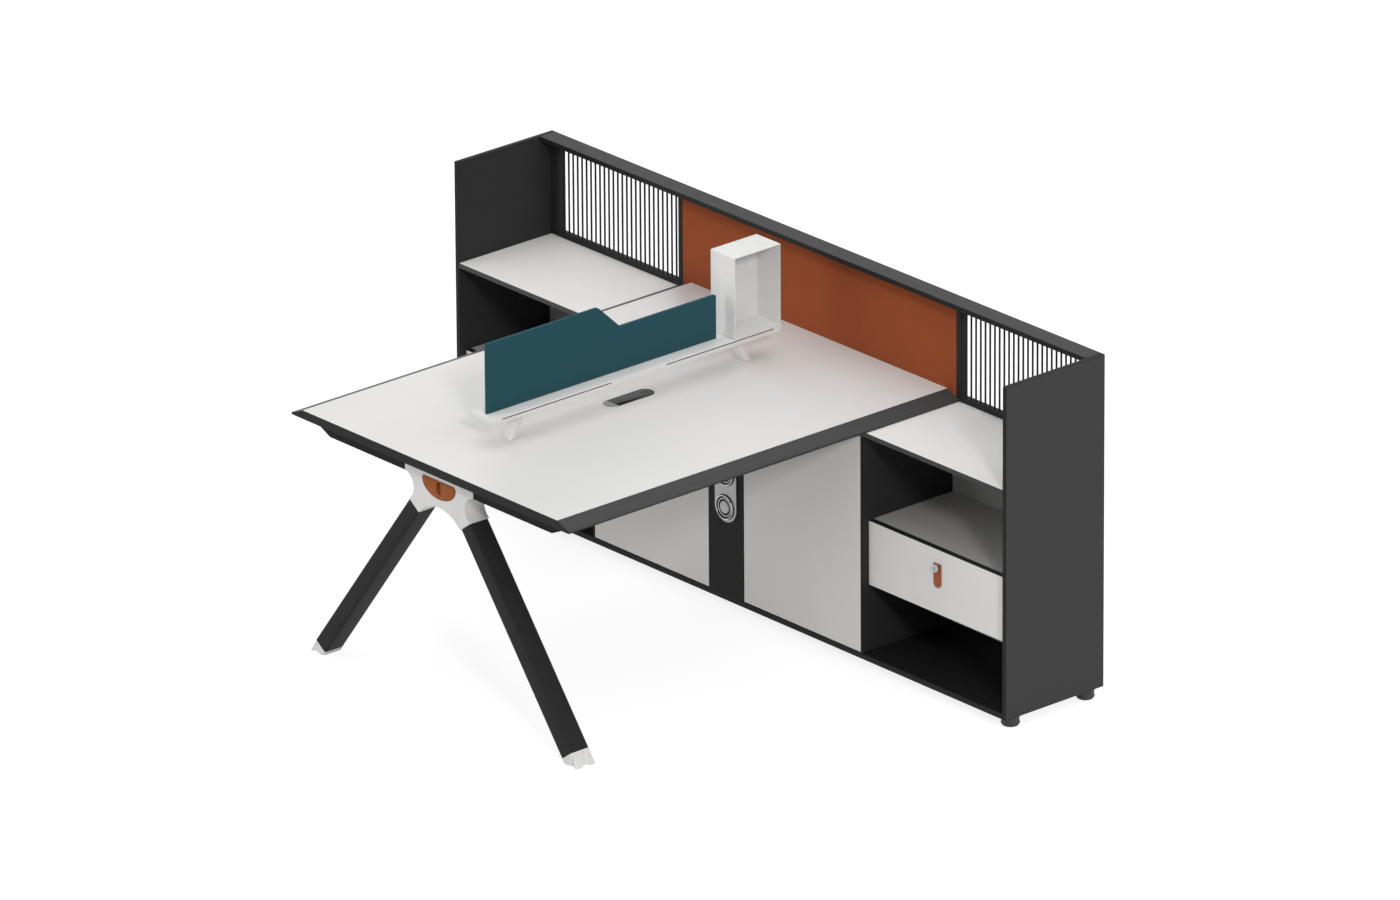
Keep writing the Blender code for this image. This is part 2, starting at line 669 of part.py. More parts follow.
def pull_and_lock(name, centre_x, front_face, front, lock_z, axis, looks):
    """A leather tab that hangs from a cam lock, whose cam turns up behind the shelf's edge."""
    half = PULL_WIDTH / 2
    top = DRAWER_TOP - PULL_TOP_DROP
    tip = top - PULL_LENGTH
    strap_back = front_face - GAP
    strap_front = strap_back - PULL_THICKNESS
    outline = [(centre_x + half, tip + half), (centre_x + half, top - PULL_SHOULDER)]
    outline += [(centre_x + half - PULL_SHOULDER, top), (centre_x - half + PULL_SHOULDER, top)]
    outline += [(centre_x - half, top - PULL_SHOULDER), (centre_x - half, tip + half)]
    outline += arc((centre_x - half, tip + half), (centre_x + half, tip + half), -half, 10)[:-1]
    strap = prism(f"{name}_drawer_pull", looks["leather"], outline, "y", strap_front, strap_back, axis)
    strap.location = -axis.location

    bore_profile = [(0, 0), (LOCK_BARREL_RADIUS + GAP, 0)]
    bore_length = BOARD + PULL_THICKNESS + 3 * GAP
    bore_profile += [(LOCK_BARREL_RADIUS + GAP, bore_length), (0, bore_length)]
    for target, label in ((strap, "pull"), (front, "front")):
        bore = turned(f"{name}_{label}_lock_bore", None, bore_profile,
                      (centre_x, strap_front - GAP, lock_z), 1, 20)
        combine(target, bore, "DIFFERENCE")

    head_back = strap_front - GAP
    head_front = head_back - LOCK_HEAD_HEIGHT
    cam_front = front_face + BOARD + GAP
    cam_back = cam_front + CAM_THICKNESS
    barrel_end = cam_back + CAM_SCREW_LENGTH - head_front
    profile = [
        (0, 0), (LOCK_HEAD_RADIUS - LOCK_BEVEL, 0), (LOCK_HEAD_RADIUS, LOCK_BEVEL),
        (LOCK_HEAD_RADIUS, LOCK_HEAD_HEIGHT), (LOCK_BARREL_RADIUS, LOCK_HEAD_HEIGHT),
        (LOCK_BARREL_RADIUS, barrel_end), (0, barrel_end)]
    lock_axis = add_axis(f"{name}_lock_axis", (centre_x, head_front, lock_z))
    lock = turned(f"{name}_drawer_lock", looks["chrome"], profile, (centre_x, head_front, lock_z), 1, 20,
                  lock_axis)
    keyway = block(f"{name}_keyway", None,
                   (centre_x - LOCK_KEYWAY_WIDTH / 2, centre_x + LOCK_KEYWAY_WIDTH / 2),
                   (head_front - LOCK_BEVEL, head_front + LOCK_HEAD_HEIGHT / 2),
                   (lock_z - LOCK_KEYWAY_LENGTH / 2, lock_z + LOCK_KEYWAY_LENGTH / 2))
    combine(lock, keyway, "DIFFERENCE")
    cam = block(f"{name}_lock_cam", None, (centre_x - CAM_LENGTH, centre_x + CAM_WIDTH / 2),
                (cam_front, cam_back), (lock_z - CAM_WIDTH / 2, lock_z + CAM_WIDTH / 2))
    combine(lock, cam, "UNION")


def back_screen(looks):
    dark = looks["board_dark"]
    block("top_beam", dark, (-SIDE_FACE + GAP, SIDE_FACE - GAP),
          (CABINET_BACK - TOP_BEAM_DEPTH, CABINET_BACK), (BEAM_UNDERSIDE, CABINET_HEIGHT), EDGE_EASE)
    half = CENTRE_PANEL_WIDTH / 2
    block("centre_panel", looks["panel_orange"], (-half, half),
          (SCREEN_FRONT, SCREEN_FRONT + CENTRE_PANEL_THICKNESS), (SCREEN_LOW, SCREEN_HIGH), EDGE_EASE)
    near = half + GAP
    far = SIDE_FACE - GAP
    window = (near + GRILLE_INNER_POST, far - GRILLE_OUTER_POST)
    window_z = (SCREEN_LOW + GRILLE_BOTTOM_RAIL, SCREEN_HIGH - GRILLE_TOP_RAIL)
    rods = math.floor((window[1] - window[0] - 2 * ROD_MARGIN) / ROD_PITCH + 1e-6) + 1
    first = (window[0] + window[1] - (rods - 1) * ROD_PITCH) / 2
    for name, side in SIDES:
        outer = [(side * near, SCREEN_LOW), (side * far, SCREEN_LOW), (side * far, SCREEN_HIGH),
                 (side * near, SCREEN_HIGH)]
        inner = [(side * window[0], window_z[0]), (side * window[1], window_z[0]),
                 (side * window[1], window_z[1]), (side * window[0], window_z[1])]
        grille = tube(f"{name}_grille", looks["metal_dark"], "y", outer, inner,
                      SCREEN_FRONT, SCREEN_FRONT + GRILLE_DEPTH)
        spots = [(side * (first + step * ROD_PITCH), SCREEN_FRONT + ROD_SETBACK, window_z[0] - ROD_ROOT)
                 for step in range(rods)]
        bars = posts(f"{name}_grille_rods", spots, ROD_RADIUS,
                     window_z[1] - window_z[0] + 2 * ROD_ROOT, 6)
        combine(grille, bars, "UNION")


def desk_top(looks):
    half = DESK_WIDTH / 2
    white = LAMINATE_WIDTH / 2
    seat = DESK_HEIGHT - LAMINATE_THICKNESS - GAP
    tip = DESK_HEIGHT - BEVEL_DROP
    rear = SCREEN_FRONT - GAP
    section = [
        (-half, DESK_UNDERSIDE), (half, DESK_UNDERSIDE), (half, tip), (white, seat), (-white, seat),
        (-half, tip)]
    core = prism("desktop_core", looks["board_dark"], section, "y", DESK_FRONT, rear)
    laminate = block("desktop_laminate", looks["board_white"],
                     (-white, white), (DESK_FRONT + LAMINATE_FRONT_INSET, rear), (seat + GAP, DESK_HEIGHT))
    centre = (0, DESK_FRONT + GROMMET_SETBACK)
    through = (DESK_UNDERSIDE - BOARD, DESK_HEIGHT + BOARD)
    half_hole = GROMMET_WIDTH / 2 + GAP
    reach = GROMMET_LENGTH / 2 + GAP
    combine(core, block("core_grommet_hole", None, (-half_hole, half_hole),
                        (centre[1] - reach, centre[1] + reach), through), "DIFFERENCE")
    hole = stadium(2 * half_hole, 2 * reach, centre, 10)
    combine(laminate, prism("laminate_grommet_hole", None, hole, "z", *through), "DIFFERENCE")
    cable_grommet(centre, looks)


def flap_outline(clearance, slot):
    """The grommet's opening, square at the capped end and round at the other.

    The slot is a wedge off the free side, widest at the capped end.
    """
    half = GROMMET_WIDTH / 2 - GROMMET_WALL - clearance
    centre_y = DESK_FRONT + GROMMET_SETBACK
    low = centre_y - GROMMET_LENGTH / 2 + GROMMET_CAP + clearance
    round_y = centre_y + GROMMET_LENGTH / 2 - GROMMET_WIDTH / 2
    points = [(half - slot, low)]
    for step in range(11):
        angle = math.pi * step / 10
        points.append((half * math.cos(angle), round_y + half * math.sin(angle)))
    points.append((-half, low))
    return points


def cable_grommet(centre, looks):
    top = DESK_HEIGHT + GROMMET_PROUD
    outline = stadium(GROMMET_WIDTH, GROMMET_LENGTH, centre, 10)
    frame = prism("grommet_frame", looks["plastic_grey"], outline, "z", DESK_UNDERSIDE, top, smooth=True)
    combine(frame, prism("grommet_opening", None, flap_outline(0, 0), "z",
                         DESK_UNDERSIDE - BOARD, top + BOARD), "DIFFERENCE")
    pivot_x = -(GROMMET_WIDTH / 2 - GROMMET_WALL - FLAP_GAP)
    axis = add_axis("grommet_flap_axis", (pivot_x, centre[1], top))
    flap = prism("grommet_flap", looks["plastic_dark"], flap_outline(FLAP_GAP, FLAP_SLOT), "z",
                 top - FLAP_THICKNESS, top, axis, smooth=True)
    flap.location = -axis.location


def desk_frame(looks):
    """A crossbeam under the desk's front edge, and a cable channel from it to the column."""
    dark = looks["metal_dark"]
    middle = ((CROSSBEAM_FRONT + CROSSBEAM_BACK) / 2, (BEAM_TOP + BEAM_BOTTOM) / 2)
    slant = (CROSSBEAM_TOP_LENGTH - CROSSBEAM_BOTTOM_LENGTH) / 2 / CROSSBEAM_HEIGHT
    outer = shifted(rectangle(CROSSBEAM_DEPTH, CROSSBEAM_HEIGHT), *middle)
    inner = shifted(rectangle(CROSSBEAM_DEPTH - 2 * BEAM_WALL, CROSSBEAM_HEIGHT - 2 * BEAM_WALL), *middle)
    half = CROSSBEAM_BOTTOM_LENGTH / 2
    tube("front_crossbeam", dark, "x", outer, inner, -half, half,
         lambda y, z: (z - BEAM_BOTTOM) * slant)

    half = CHANNEL_WIDTH / 2
    inside = half - BEAM_WALL
    floor = BEAM_BOTTOM + BEAM_WALL
    trough = [
        (-half, BEAM_BOTTOM), (half, BEAM_BOTTOM), (half, BEAM_TOP), (inside, BEAM_TOP),
        (inside, floor), (-inside, floor), (-inside, BEAM_TOP), (-half, BEAM_TOP)]
    wall = CABINET_FRONT - GAP
    prism("cable_channel", dark, trough, "y", CROSSBEAM_BACK + GAP, wall)

    under = BEAM_BOTTOM - GAP
    shelf = under - BRACKET_WALL
    angle = [
        (wall, under), (wall - BRACKET_SHELF, under), (wall - BRACKET_SHELF, shelf),
        (wall - BRACKET_WALL, shelf), (wall - BRACKET_WALL, under - BRACKET_DROP),
        (wall, under - BRACKET_DROP)]
    prism("channel_bracket", dark, angle, "x", -half, half)


def along_leg(side, distance, across):
    """A point in the leg's own directions from its top, in the XZ plane."""
    x = SOCKET_X + distance * math.sin(LEG_ANGLE) + across * math.cos(LEG_ANGLE)
    z = SOCKET_Z - distance * math.cos(LEG_ANGLE) + across * math.sin(LEG_ANGLE)
    return side * x, z


def leg_outline(inset):
    """The leg tube's section, drawn in from its outer surface."""
    corners = [(u, v, LEG_CORNER - inset) for u, v in rectangle(LEG_WIDTH - 2 * inset, LEG_DEPTH - 2 * inset)]
    return rounded(corners, 3)


def aim_along_leg(piece, side):
    """Turns a piece built along Z, with its top at the origin, onto the leg's axis."""
    top_x, top_z = along_leg(side, 0, 0)
    piece.location = (top_x, CONNECTOR_MIDDLE, top_z)
    piece.rotation_euler = (0, -side * LEG_ANGLE, 0)


def spigot(name, side, start, end):
    """A plug inside the leg tube, between two distances along the leg."""
    plug = prism(name, None, leg_outline(LEG_WALL + GAP), "z", -end, -start)
    aim_along_leg(plug, side)
    return plug


def connector_outline():
    """The leg connector seen from the front: two sockets, scooped sides and an arch."""
    half = SOCKET_WIDTH / 2
    flare = FLARE_WIDTH / 2
    outer_right = along_leg(1, 0, half)
    inner_right = along_leg(1, 0, -half)
    inner_left = along_leg(-1, 0, -half)
    outer_left = along_leg(-1, 0, half)
    flare_low = DESK_UNDERSIDE - FLARE_DROP
    points = [(flare, BEAM_TOP), (-flare, BEAM_TOP), (-flare, flare_low)]
    points += arc((-flare, flare_low), outer_left, SCOOP_RISE, 10)
    points += [inner_left]
    points += arc(inner_left, inner_right, ARCH_RISE, 12)
    points += [outer_right]
    points += arc(outer_right, (flare, flare_low), SCOOP_RISE, 10)
    return points


def insert_outline(clearance):
    half = INSERT_WIDTH / 2 + clearance
    top = BEAM_TOP - INSERT_TOP_DROP + clearance
    waist = top - INSERT_SHOULDER - clearance
    drop = INSERT_DROP + clearance
    points = [(half - INSERT_SHOULDER, top), (-half + INSERT_SHOULDER, top)]
    for step in range(17):
        angle = math.pi + math.pi * step / 16
        points.append((half * math.cos(angle), waist + drop * math.sin(angle)))
    return points


def v_leg(looks):
    connector = prism("leg_connector", looks["metal_white"], connector_outline(), "y",
                      CONNECTOR_FRONT, CONNECTOR_BACK, smooth=True)
    reach = FLARE_WIDTH / 2 + BOARD
    seat = block("crossbeam_seat", None, (-reach, reach), (CROSSBEAM_FRONT - GAP, CONNECTOR_BACK + BOARD),
                 (BEAM_BOTTOM - GAP, DESK_HEIGHT))
    combine(connector, seat, "DIFFERENCE")
    pocket_back = CONNECTOR_FRONT + INSERT_POCKET
    pocket = prism("insert_pocket", None, insert_outline(GAP), "y", CONNECTOR_FRONT - BOARD, pocket_back)
    combine(connector, pocket, "DIFFERENCE")
    insert_back = pocket_back - GAP
    insert_front = insert_back - INSERT_THICKNESS
    insert = prism("connector_insert", looks["plastic_orange"], insert_outline(0), "y",
                   insert_front, insert_back, smooth=True)
    slot_z = BEAM_TOP - INSERT_TOP_DROP - (INSERT_SHOULDER + INSERT_DROP) / 2
    slot = prism("insert_slot", None, stadium(INSERT_SLOT_WIDTH, INSERT_SLOT_LENGTH, (0, slot_z), 6), "y",
                 insert_front - INSERT_SLOT_DEPTH, insert_front + INSERT_SLOT_DEPTH)
    combine(insert, slot, "DIFFERENCE")

    for name, side in SIDES:
        combine(connector, spigot(f"{name}_top_spigot", side, -SPIGOT_ROOT, SPIGOT_LENGTH), "UNION")
        leg = tube(f"{name}_leg", looks["metal_dark"], "z", leg_outline(0), leg_outline(LEG_WALL),
                   -LEG_LENGTH + GAP, -GAP)
        aim_along_leg(leg, side)
        leg_foot(name, side, looks)


def leg_foot(name, side, looks):
    """A wedge under the leg, flat on the floor, with a plug inside the tube."""
    half = LEG_WIDTH / 2
    heel_x, heel_z = along_leg(side, LEG_LENGTH, -half)
    ball_x, ball_z = along_leg(side, LEG_LENGTH, half)
    toe_x = ball_x + side * FOOT_TOE_REACH
    outline = [(heel_x, 0), (toe_x, 0), (ball_x, ball_z), (heel_x, heel_z)]
    foot = prism(f"{name}_leg_foot", looks["metal_white"], outline, "y",
                 CONNECTOR_MIDDLE - LEG_DEPTH / 2, CONNECTOR_MIDDLE + LEG_DEPTH / 2)
    plug = spigot(f"{name}_foot_plug", side, LEG_LENGTH - SPIGOT_LENGTH, LEG_LENGTH + SPIGOT_ROOT)
    combine(foot, plug, "UNION")


def bridge(looks):
    white = looks["metal_white"]
    half = BRIDGE_WIDTH / 2
    shelf = block("bridge_shelf", white, (-half, half), (BRIDGE_FRONT, BRIDGE_BACK),
                  (BRIDGE_UNDERSIDE, BRIDGE_TOP), EDGE_EASE)
    slot_top = BRIDGE_TOP - BRIDGE_SLOT_DROP
    front_slot = (BRIDGE_FRONT + BRIDGE_SLOT_INSET, BRIDGE_FRONT + BRIDGE_SLOT_INSET + BRIDGE_SLOT_LENGTH)
    back_slot = (BRIDGE_BACK - BRIDGE_SLOT_INSET - BRIDGE_SLOT_LENGTH, BRIDGE_BACK - BRIDGE_SLOT_INSET)
    slot_z = (slot_top - BRIDGE_SLOT_HEIGHT, slot_top)
    slots = [
        (mirrored(side, half - BRIDGE_SLOT_DEPTH, half + BOARD), span, slot_z)
        for _, side in SIDES for span in (front_slot, back_slot)]
    combine(shelf, blocks("bridge_slots", slots), "DIFFERENCE")
    bridge_legs(white)
    desk_screen(shelf, looks)
    box_back = BRIDGE_BACK - BOX_END_INSET
    box_y = (box_back - BOX_LENGTH, box_back)
    box_z = (BRIDGE_TOP + GAP, BRIDGE_TOP + GAP + BOX_HEIGHT)
    box = block("bridge_box", white, (-half, half), box_y, box_z)
    hollow = block("bridge_box_hollow", None, (-half + BOX_WALL, half + BOARD),
                   (box_y[0] + BOX_WALL, box_y[1] - BOX_WALL), (box_z[0] + BOX_WALL, box_z[1] - BOX_WALL))
    combine(box, hollow, "DIFFERENCE")


def bridge_legs(material):
    """Two flat legs that splay along the bridge, towards its ends."""
    high = BRIDGE_UNDERSIDE - GAP
    low = DESK_HEIGHT + GAP
    half = BRIDGE_LEG_WIDTH / 2
    for name, end, direction in (("front", BRIDGE_FRONT, 1), ("rear", BRIDGE_BACK, -1)):
        top = end + direction * BRIDGE_LEG_INSET
        foot = top - direction * BRIDGE_LEG_SPLAY
        outline = [
            (top, high), (top + direction * BRIDGE_LEG_THICKNESS, high),
            (foot + direction * BRIDGE_LEG_THICKNESS, low), (foot, low)]
        prism(f"{name}_bridge_leg", material, outline, "x", -half, half)


def desk_screen(shelf, looks):
    """The stepped panel, which stands in a groove along the bridge."""
    start = BRIDGE_FRONT + PANEL_FRONT_INSET
    end = start + PANEL_LENGTH
    bottom = BRIDGE_TOP - PANEL_TONGUE
    tall = BRIDGE_TOP + PANEL_TALL
    low = BRIDGE_TOP + PANEL_LOW
    apex = start + PANEL_TALL_LENGTH
    outline = rounded([
        (start, bottom, 0), (end, bottom, 0), (end, low, PANEL_CORNER),
        (apex + PANEL_SLOPE_RUN, low, PANEL_CORNER), (apex, tall, PANEL_APEX_RADIUS),
        (start, tall, PANEL_CORNER)], 5)
    half = PANEL_THICKNESS / 2
    prism("desk_screen", looks["panel_teal"], outline, "x", -half, half, smooth=True)
    groove = block("screen_groove", None, (-half - GAP, half + GAP), (start - GAP, end + GAP),
                   (bottom - GAP, BRIDGE_TOP + BOARD))
    combine(shelf, groove, "DIFFERENCE")


def main():
    clear_scene()
    looks = make_materials()
    cabinet_carcass(looks)
    cabinet_feet(looks)
    centre_column(looks)
    doors(looks)
    drawers(looks)
    back_screen(looks)
    desk_top(looks)
    desk_frame(looks)
    v_leg(looks)
    bridge(looks)


main()
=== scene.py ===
"""Looks of the office workstation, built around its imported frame.

Metres, +Z up, in the frame of the solids. Every piece rides on a body of the frame. Pieces that
stand for a plain solid are made here with rounds, seams and relief. The boards keep their solids
and get layered materials with edge bands.
"""

from math import asin, atan2, copysign, cos, hypot, pi, radians, sin, tan

import bmesh
import bpy
from mathutils import Matrix, Vector


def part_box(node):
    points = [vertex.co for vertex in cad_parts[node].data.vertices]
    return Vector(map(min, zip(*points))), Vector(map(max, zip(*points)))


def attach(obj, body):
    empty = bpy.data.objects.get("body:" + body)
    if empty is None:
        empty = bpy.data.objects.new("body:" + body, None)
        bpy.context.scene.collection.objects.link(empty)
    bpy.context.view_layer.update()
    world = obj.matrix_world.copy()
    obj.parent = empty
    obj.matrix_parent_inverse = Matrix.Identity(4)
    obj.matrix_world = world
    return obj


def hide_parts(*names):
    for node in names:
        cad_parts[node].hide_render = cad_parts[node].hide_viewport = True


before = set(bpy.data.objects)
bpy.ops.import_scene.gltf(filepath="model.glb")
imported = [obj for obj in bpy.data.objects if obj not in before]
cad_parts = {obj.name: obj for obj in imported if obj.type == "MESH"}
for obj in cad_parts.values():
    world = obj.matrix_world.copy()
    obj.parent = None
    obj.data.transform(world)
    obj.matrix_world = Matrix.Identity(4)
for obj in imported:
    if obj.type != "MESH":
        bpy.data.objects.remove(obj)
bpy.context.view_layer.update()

SIDES = (("left", -1), ("right", 1))
BODY = "frame"

# Planes and sizes shared with the solids
GAP = 0.0003
BOARD_THICK = 0.018
CABINET_FRONT = 0.372
DRAWER_SETBACK = 0.023
DESK_TOP = 0.7653
DESK_UNDERSIDE = 0.7383
DESK_FRONT = -0.752
BEAM_TOP = 0.738
BEAM_BOTTOM = 0.6926
CROSSBEAM_FRONT = -0.711
CONNECTOR_FRONT = -0.7155
CONNECTOR_BACK = -0.6415
BRIDGE_HALF = 0.0525
BRIDGE_TOP = 0.8625
BRIDGE_UNDERSIDE = 0.8438
BRIDGE_FRONT = -0.550
BRIDGE_BACK = 0.542
SCREEN_START = BRIDGE_FRONT + 0.014
SCREEN_LENGTH = 0.870

# How far a cutting shape reaches past the surface that it opens
PAST = 0.02

# The leg connector's insert and the recess in it
INSERT_WIDTH = 0.146
INSERT_SHOULDER = 0.006
INSERT_CORNER = 0.0105
INSERT_DROP = 0.052
INSERT_TOP = BEAM_TOP - 0.032
INSERT_SEAT = CONNECTOR_FRONT + 0.003
SLOT_WIDTH = 0.0195
SLOT_LENGTH = 0.037
SLOT_BOTTOM = CONNECTOR_FRONT + 0.0065
SLOT_HEIGHT = INSERT_TOP - 0.0245

# The grommet, with its capped end and the round end of its lid
GROMMET_CENTRE = (0.0, 0.002)
GROMMET_WIDTH = 0.055
GROMMET_LENGTH = 0.179
GROMMET_TOP = DESK_TOP + 0.001
LID_HALF = 0.0235
LID_START = GROMMET_CENTRE[1] - GROMMET_LENGTH / 2 + 0.030
LID_ROUND = GROMMET_CENTRE[1] + GROMMET_LENGTH / 2 - 0.0275

# Linear colours, and the sizes and gloss that the looks use
GRAPHITE = (0.063, 0.063, 0.0643)
GRAPHITE_EDGE = (0.017, 0.017, 0.0175)
WARM_WHITE = (0.835, 0.826, 0.815)
ENAMEL = (0.80, 0.795, 0.79)
POWDER_BLACK = (0.0265, 0.0265, 0.027)
ORANGE_CLOTH = (0.345, 0.08, 0.0245)
TEAL_CLOTH = (0.0215, 0.09, 0.114)
EDGE_BAND = 0.001
GLUE_LINE = 0.00025
FACE_GLOSS = 0.5
BAND_GLOSS = 0.42
THREAD_PITCH = 0.0016


def add_node(tree, kind, inputs=None, **settings):
    """Adds a node whose inputs are set to values or fed from other nodes' outputs."""
    made = tree.nodes.new(kind)
    for key, value in settings.items():
        setattr(made, key, value)
    for key, value in (inputs or {}).items():
        if isinstance(value, bpy.types.NodeSocket):
            tree.links.new(value, made.inputs[key])
        else:
            made.inputs[key].default_value = value
    return made


def add_math(tree, operation, *values):
    inputs = dict(enumerate(values))
    return add_node(tree, "ShaderNodeMath", inputs, operation=operation).outputs[0]


def scaled(colour, factor):
    return tuple(min(1.0, channel * factor) for channel in colour)


class Look:
    """A Principled material whose colour, roughness and relief are drawn by nodes."""

    def __init__(self, name, metallic=0.0, sheen=0.0, level=0.5):
        self.material = bpy.data.materials.new(name)
        self.material.use_nodes = True
        self.tree = self.material.node_tree
        self.shader = self.tree.nodes["Principled BSDF"]
        plain = {"Metallic": metallic, "Sheen Weight": sheen, "Specular IOR Level": level}
        for key, value in plain.items():
            self.shader.inputs[key].default_value = value
        self.place = self.node("ShaderNodeTexCoord").outputs["Object"]
        split = self.node("ShaderNodeSeparateXYZ", {0: self.place})
        self.axes = dict(zip("xyz", split.outputs))

    def node(self, kind, inputs=None, **settings):
        return add_node(self.tree, kind, inputs, **settings)

    def math(self, operation, *values):
        return add_math(self.tree, operation, *values)

    def noise(self, scale, detail=2.0, roughness=0.5, stretch=None):
        place = self.place
        if stretch:
            place = self.node("ShaderNodeMapping", {"Vector": place, "Scale": stretch}).outputs[0]
        inputs = {"Vector": place, "Scale": scale, "Detail": detail, "Roughness": roughness}
        return self.node("ShaderNodeTexNoise", inputs).outputs[0]

    def spark(self):
        """The fine spark texture of a moulded or cast skin."""
        return self.noise(1300.0, 2.0, 0.6)

    def cells(self, scale, feature="F1"):
        inputs = {"Vector": self.place, "Scale": scale}
        return self.node("ShaderNodeTexVoronoi", inputs, feature=feature).outputs["Distance"]

    def span(self, value, low, high, out_low, out_high):
        inputs = dict(enumerate((value, low, high, out_low, out_high)))
        return self.node("ShaderNodeMapRange", inputs).outputs[0]

    def spread(self, value, out_low=0.0, out_high=1.0):
        """Maps the range that holds nearly all of a noise to the given one."""
        return self.span(value, 0.3, 0.7, out_low, out_high)

    def blend(self, factor, first, second):
        inputs = {0: factor}
        for index, value in ((6, first), (7, second)):
            inputs[index] = (*value, 1.0) if isinstance(value, tuple) else value
        return self.node("ShaderNodeMix", inputs, data_type="RGBA").outputs[2]

    def tints(self, factor, tone, less, more):
        """Blends a tone's darker tint into its lighter one."""
        return self.blend(factor, scaled(tone, less), scaled(tone, more))

    def finished(self, colour, roughness, height, distance):
        """Feeds the shader and gives the material."""
        bump = self.node("ShaderNodeBump", {"Distance": distance, "Height": height})
        fed = {"Base Color": colour, "Roughness": roughness, "Normal": bump.outputs[0]}
        for key, socket in fed.items():
            self.tree.links.new(socket, self.shader.inputs[key])
        return self.material


def mottled(look, tone, amount, cloud=5.0, speck=420.0):
    """A tone with broad clouds and fine specks, as a pressed decor sheet has."""
    broad = look.math("MULTIPLY", look.noise(cloud, 3.0, 0.55), 0.55)
    fine = look.math("MULTIPLY", look.noise(speck, 2.0, 0.6), 0.45)
    return look.tints(look.spread(look.math("ADD", broad, fine)), tone, 1 - amount, 1 + amount)


def board_look(node, thin, face, level, inner_face_painted_shade):
    """A coated board: pearl relief on its faces, and a banded edge with its fine joint line.

    Where a darker tone is given for the face that looks into the cabinet, it is painted shade.
    """
    look = Look(f"board_{node}", level=level)
    low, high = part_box(node)
    inside = None
    for index, axis in enumerate("xyz"):
        if axis == thin:
            continue
        middle = (low[index] + high[index]) / 2
        half = (high[index] - low[index]) / 2
        away = look.math("ABSOLUTE", look.math("SUBTRACT", look.axes[axis], middle))
        depth = look.math("SUBTRACT", half, away)
        inside = depth if inside is None else look.math("MINIMUM", inside, depth)
    on_band = look.math("LESS_THAN", inside, EDGE_BAND)
    on_line = look.math("LESS_THAN", inside, EDGE_BAND + GLUE_LINE)
    face_tone = mottled(look, face, 0.026)
    # Painted shade on the face that looks into the cabinet
    if inner_face_painted_shade:
        outer = max(abs(getattr(low, thin)), abs(getattr(high, thin))) - EDGE_BAND
        on_inner_face_painted_shade = look.math("LESS_THAN", look.math("ABSOLUTE", look.axes[thin]), outer)
        face_tone = look.blend(on_inner_face_painted_shade, face_tone, mottled(look, inner_face_painted_shade, 0.026))
    band_tone = look.tints(look.noise(160.0), GRAPHITE_EDGE, 0.93, 1.07)
    joint = look.blend(on_line, face_tone, scaled(face, 0.55))
    wave = look.spread(look.noise(26.0, 3.0), FACE_GLOSS - 0.04, FACE_GLOSS + 0.05)
    shine = look.math("ADD", look.math("MULTIPLY", on_band, BAND_GLOSS - FACE_GLOSS), wave)
    pearl = look.noise(850.0, 2.0, 0.55)
    height = look.math("SUBTRACT", pearl, look.math("MULTIPLY", on_line, 0.6))
    return look.finished(look.blend(on_band, joint, band_tone), shine, height, 0.00006)


def laminate_look():
    """The desktop's satin laminate: soft pearl, faint clouds and polished touch marks."""
    look = Look("laminate_white")
    tone = mottled(look, scaled(WARM_WHITE, 0.94), 0.03, 3.5, 380.0)
    rubbed = look.span(look.noise(2.6, 4.0, 0.6), 0.35, 0.65, 0.34, 0.43)
    shine = look.math("ADD", rubbed, look.spread(look.noise(70.0), -0.015, 0.015))
    return look.finished(tone, shine, look.noise(1100.0), 0.00004)


def desk_edge_look():
    """The desktop's bevelled edge: graphite, sanded along its length, lighter where it is touched."""
    look = Look("desk_edge", level=0.1)
    along = look.noise(90.0, 3.0, 0.6, (1.0, 0.06, 1.0))
    wear = look.span(along, 0.35, 0.75, 0.0, 0.35)
    worn = look.blend(wear, mottled(look, GRAPHITE, 0.05), scaled(GRAPHITE, 1.4))
    # The darker edge tone is the edge banding on the front face, and painted shade on the lowest strip of
    # the underside.
    front = look.math("LESS_THAN", look.axes["y"], DESK_FRONT + EDGE_BAND)
    low = look.math("LESS_THAN", look.axes["z"], DESK_UNDERSIDE + 0.0012)
    band = look.tints(look.noise(160.0), GRAPHITE_EDGE, 1.1, 1.3)
    tone = look.blend(look.math("MAXIMUM", front, low), worn, band)
    return look.finished(tone, look.spread(look.noise(30.0, 3.0), 0.4, 0.5), along, 0.00005)


def powder_look(name, tone, gloss, grain=0.00011, wear=1.25, scale=520.0, level=0.4):
    """Powder-coated metal: an orange-peel skin, a little lighter and smoother on broad clouds."""
    look = Look(name, level=level)
    skin = look.noise(scale, 3.0, 0.55)
    cloud = look.span(look.noise(9.0, 3.0, 0.6), 0.3, 0.75, 0.0, 1.0)
    speck = look.span(look.noise(1500.0, 1.0), 0.62, 0.8, 0.0, 0.25)
    mixed = look.blend(speck, look.tints(cloud, tone, 0.96, 1.05), scaled(tone, wear))
    return look.finished(mixed, look.spread(skin, gloss - 0.05, gloss + 0.06), skin, grain)


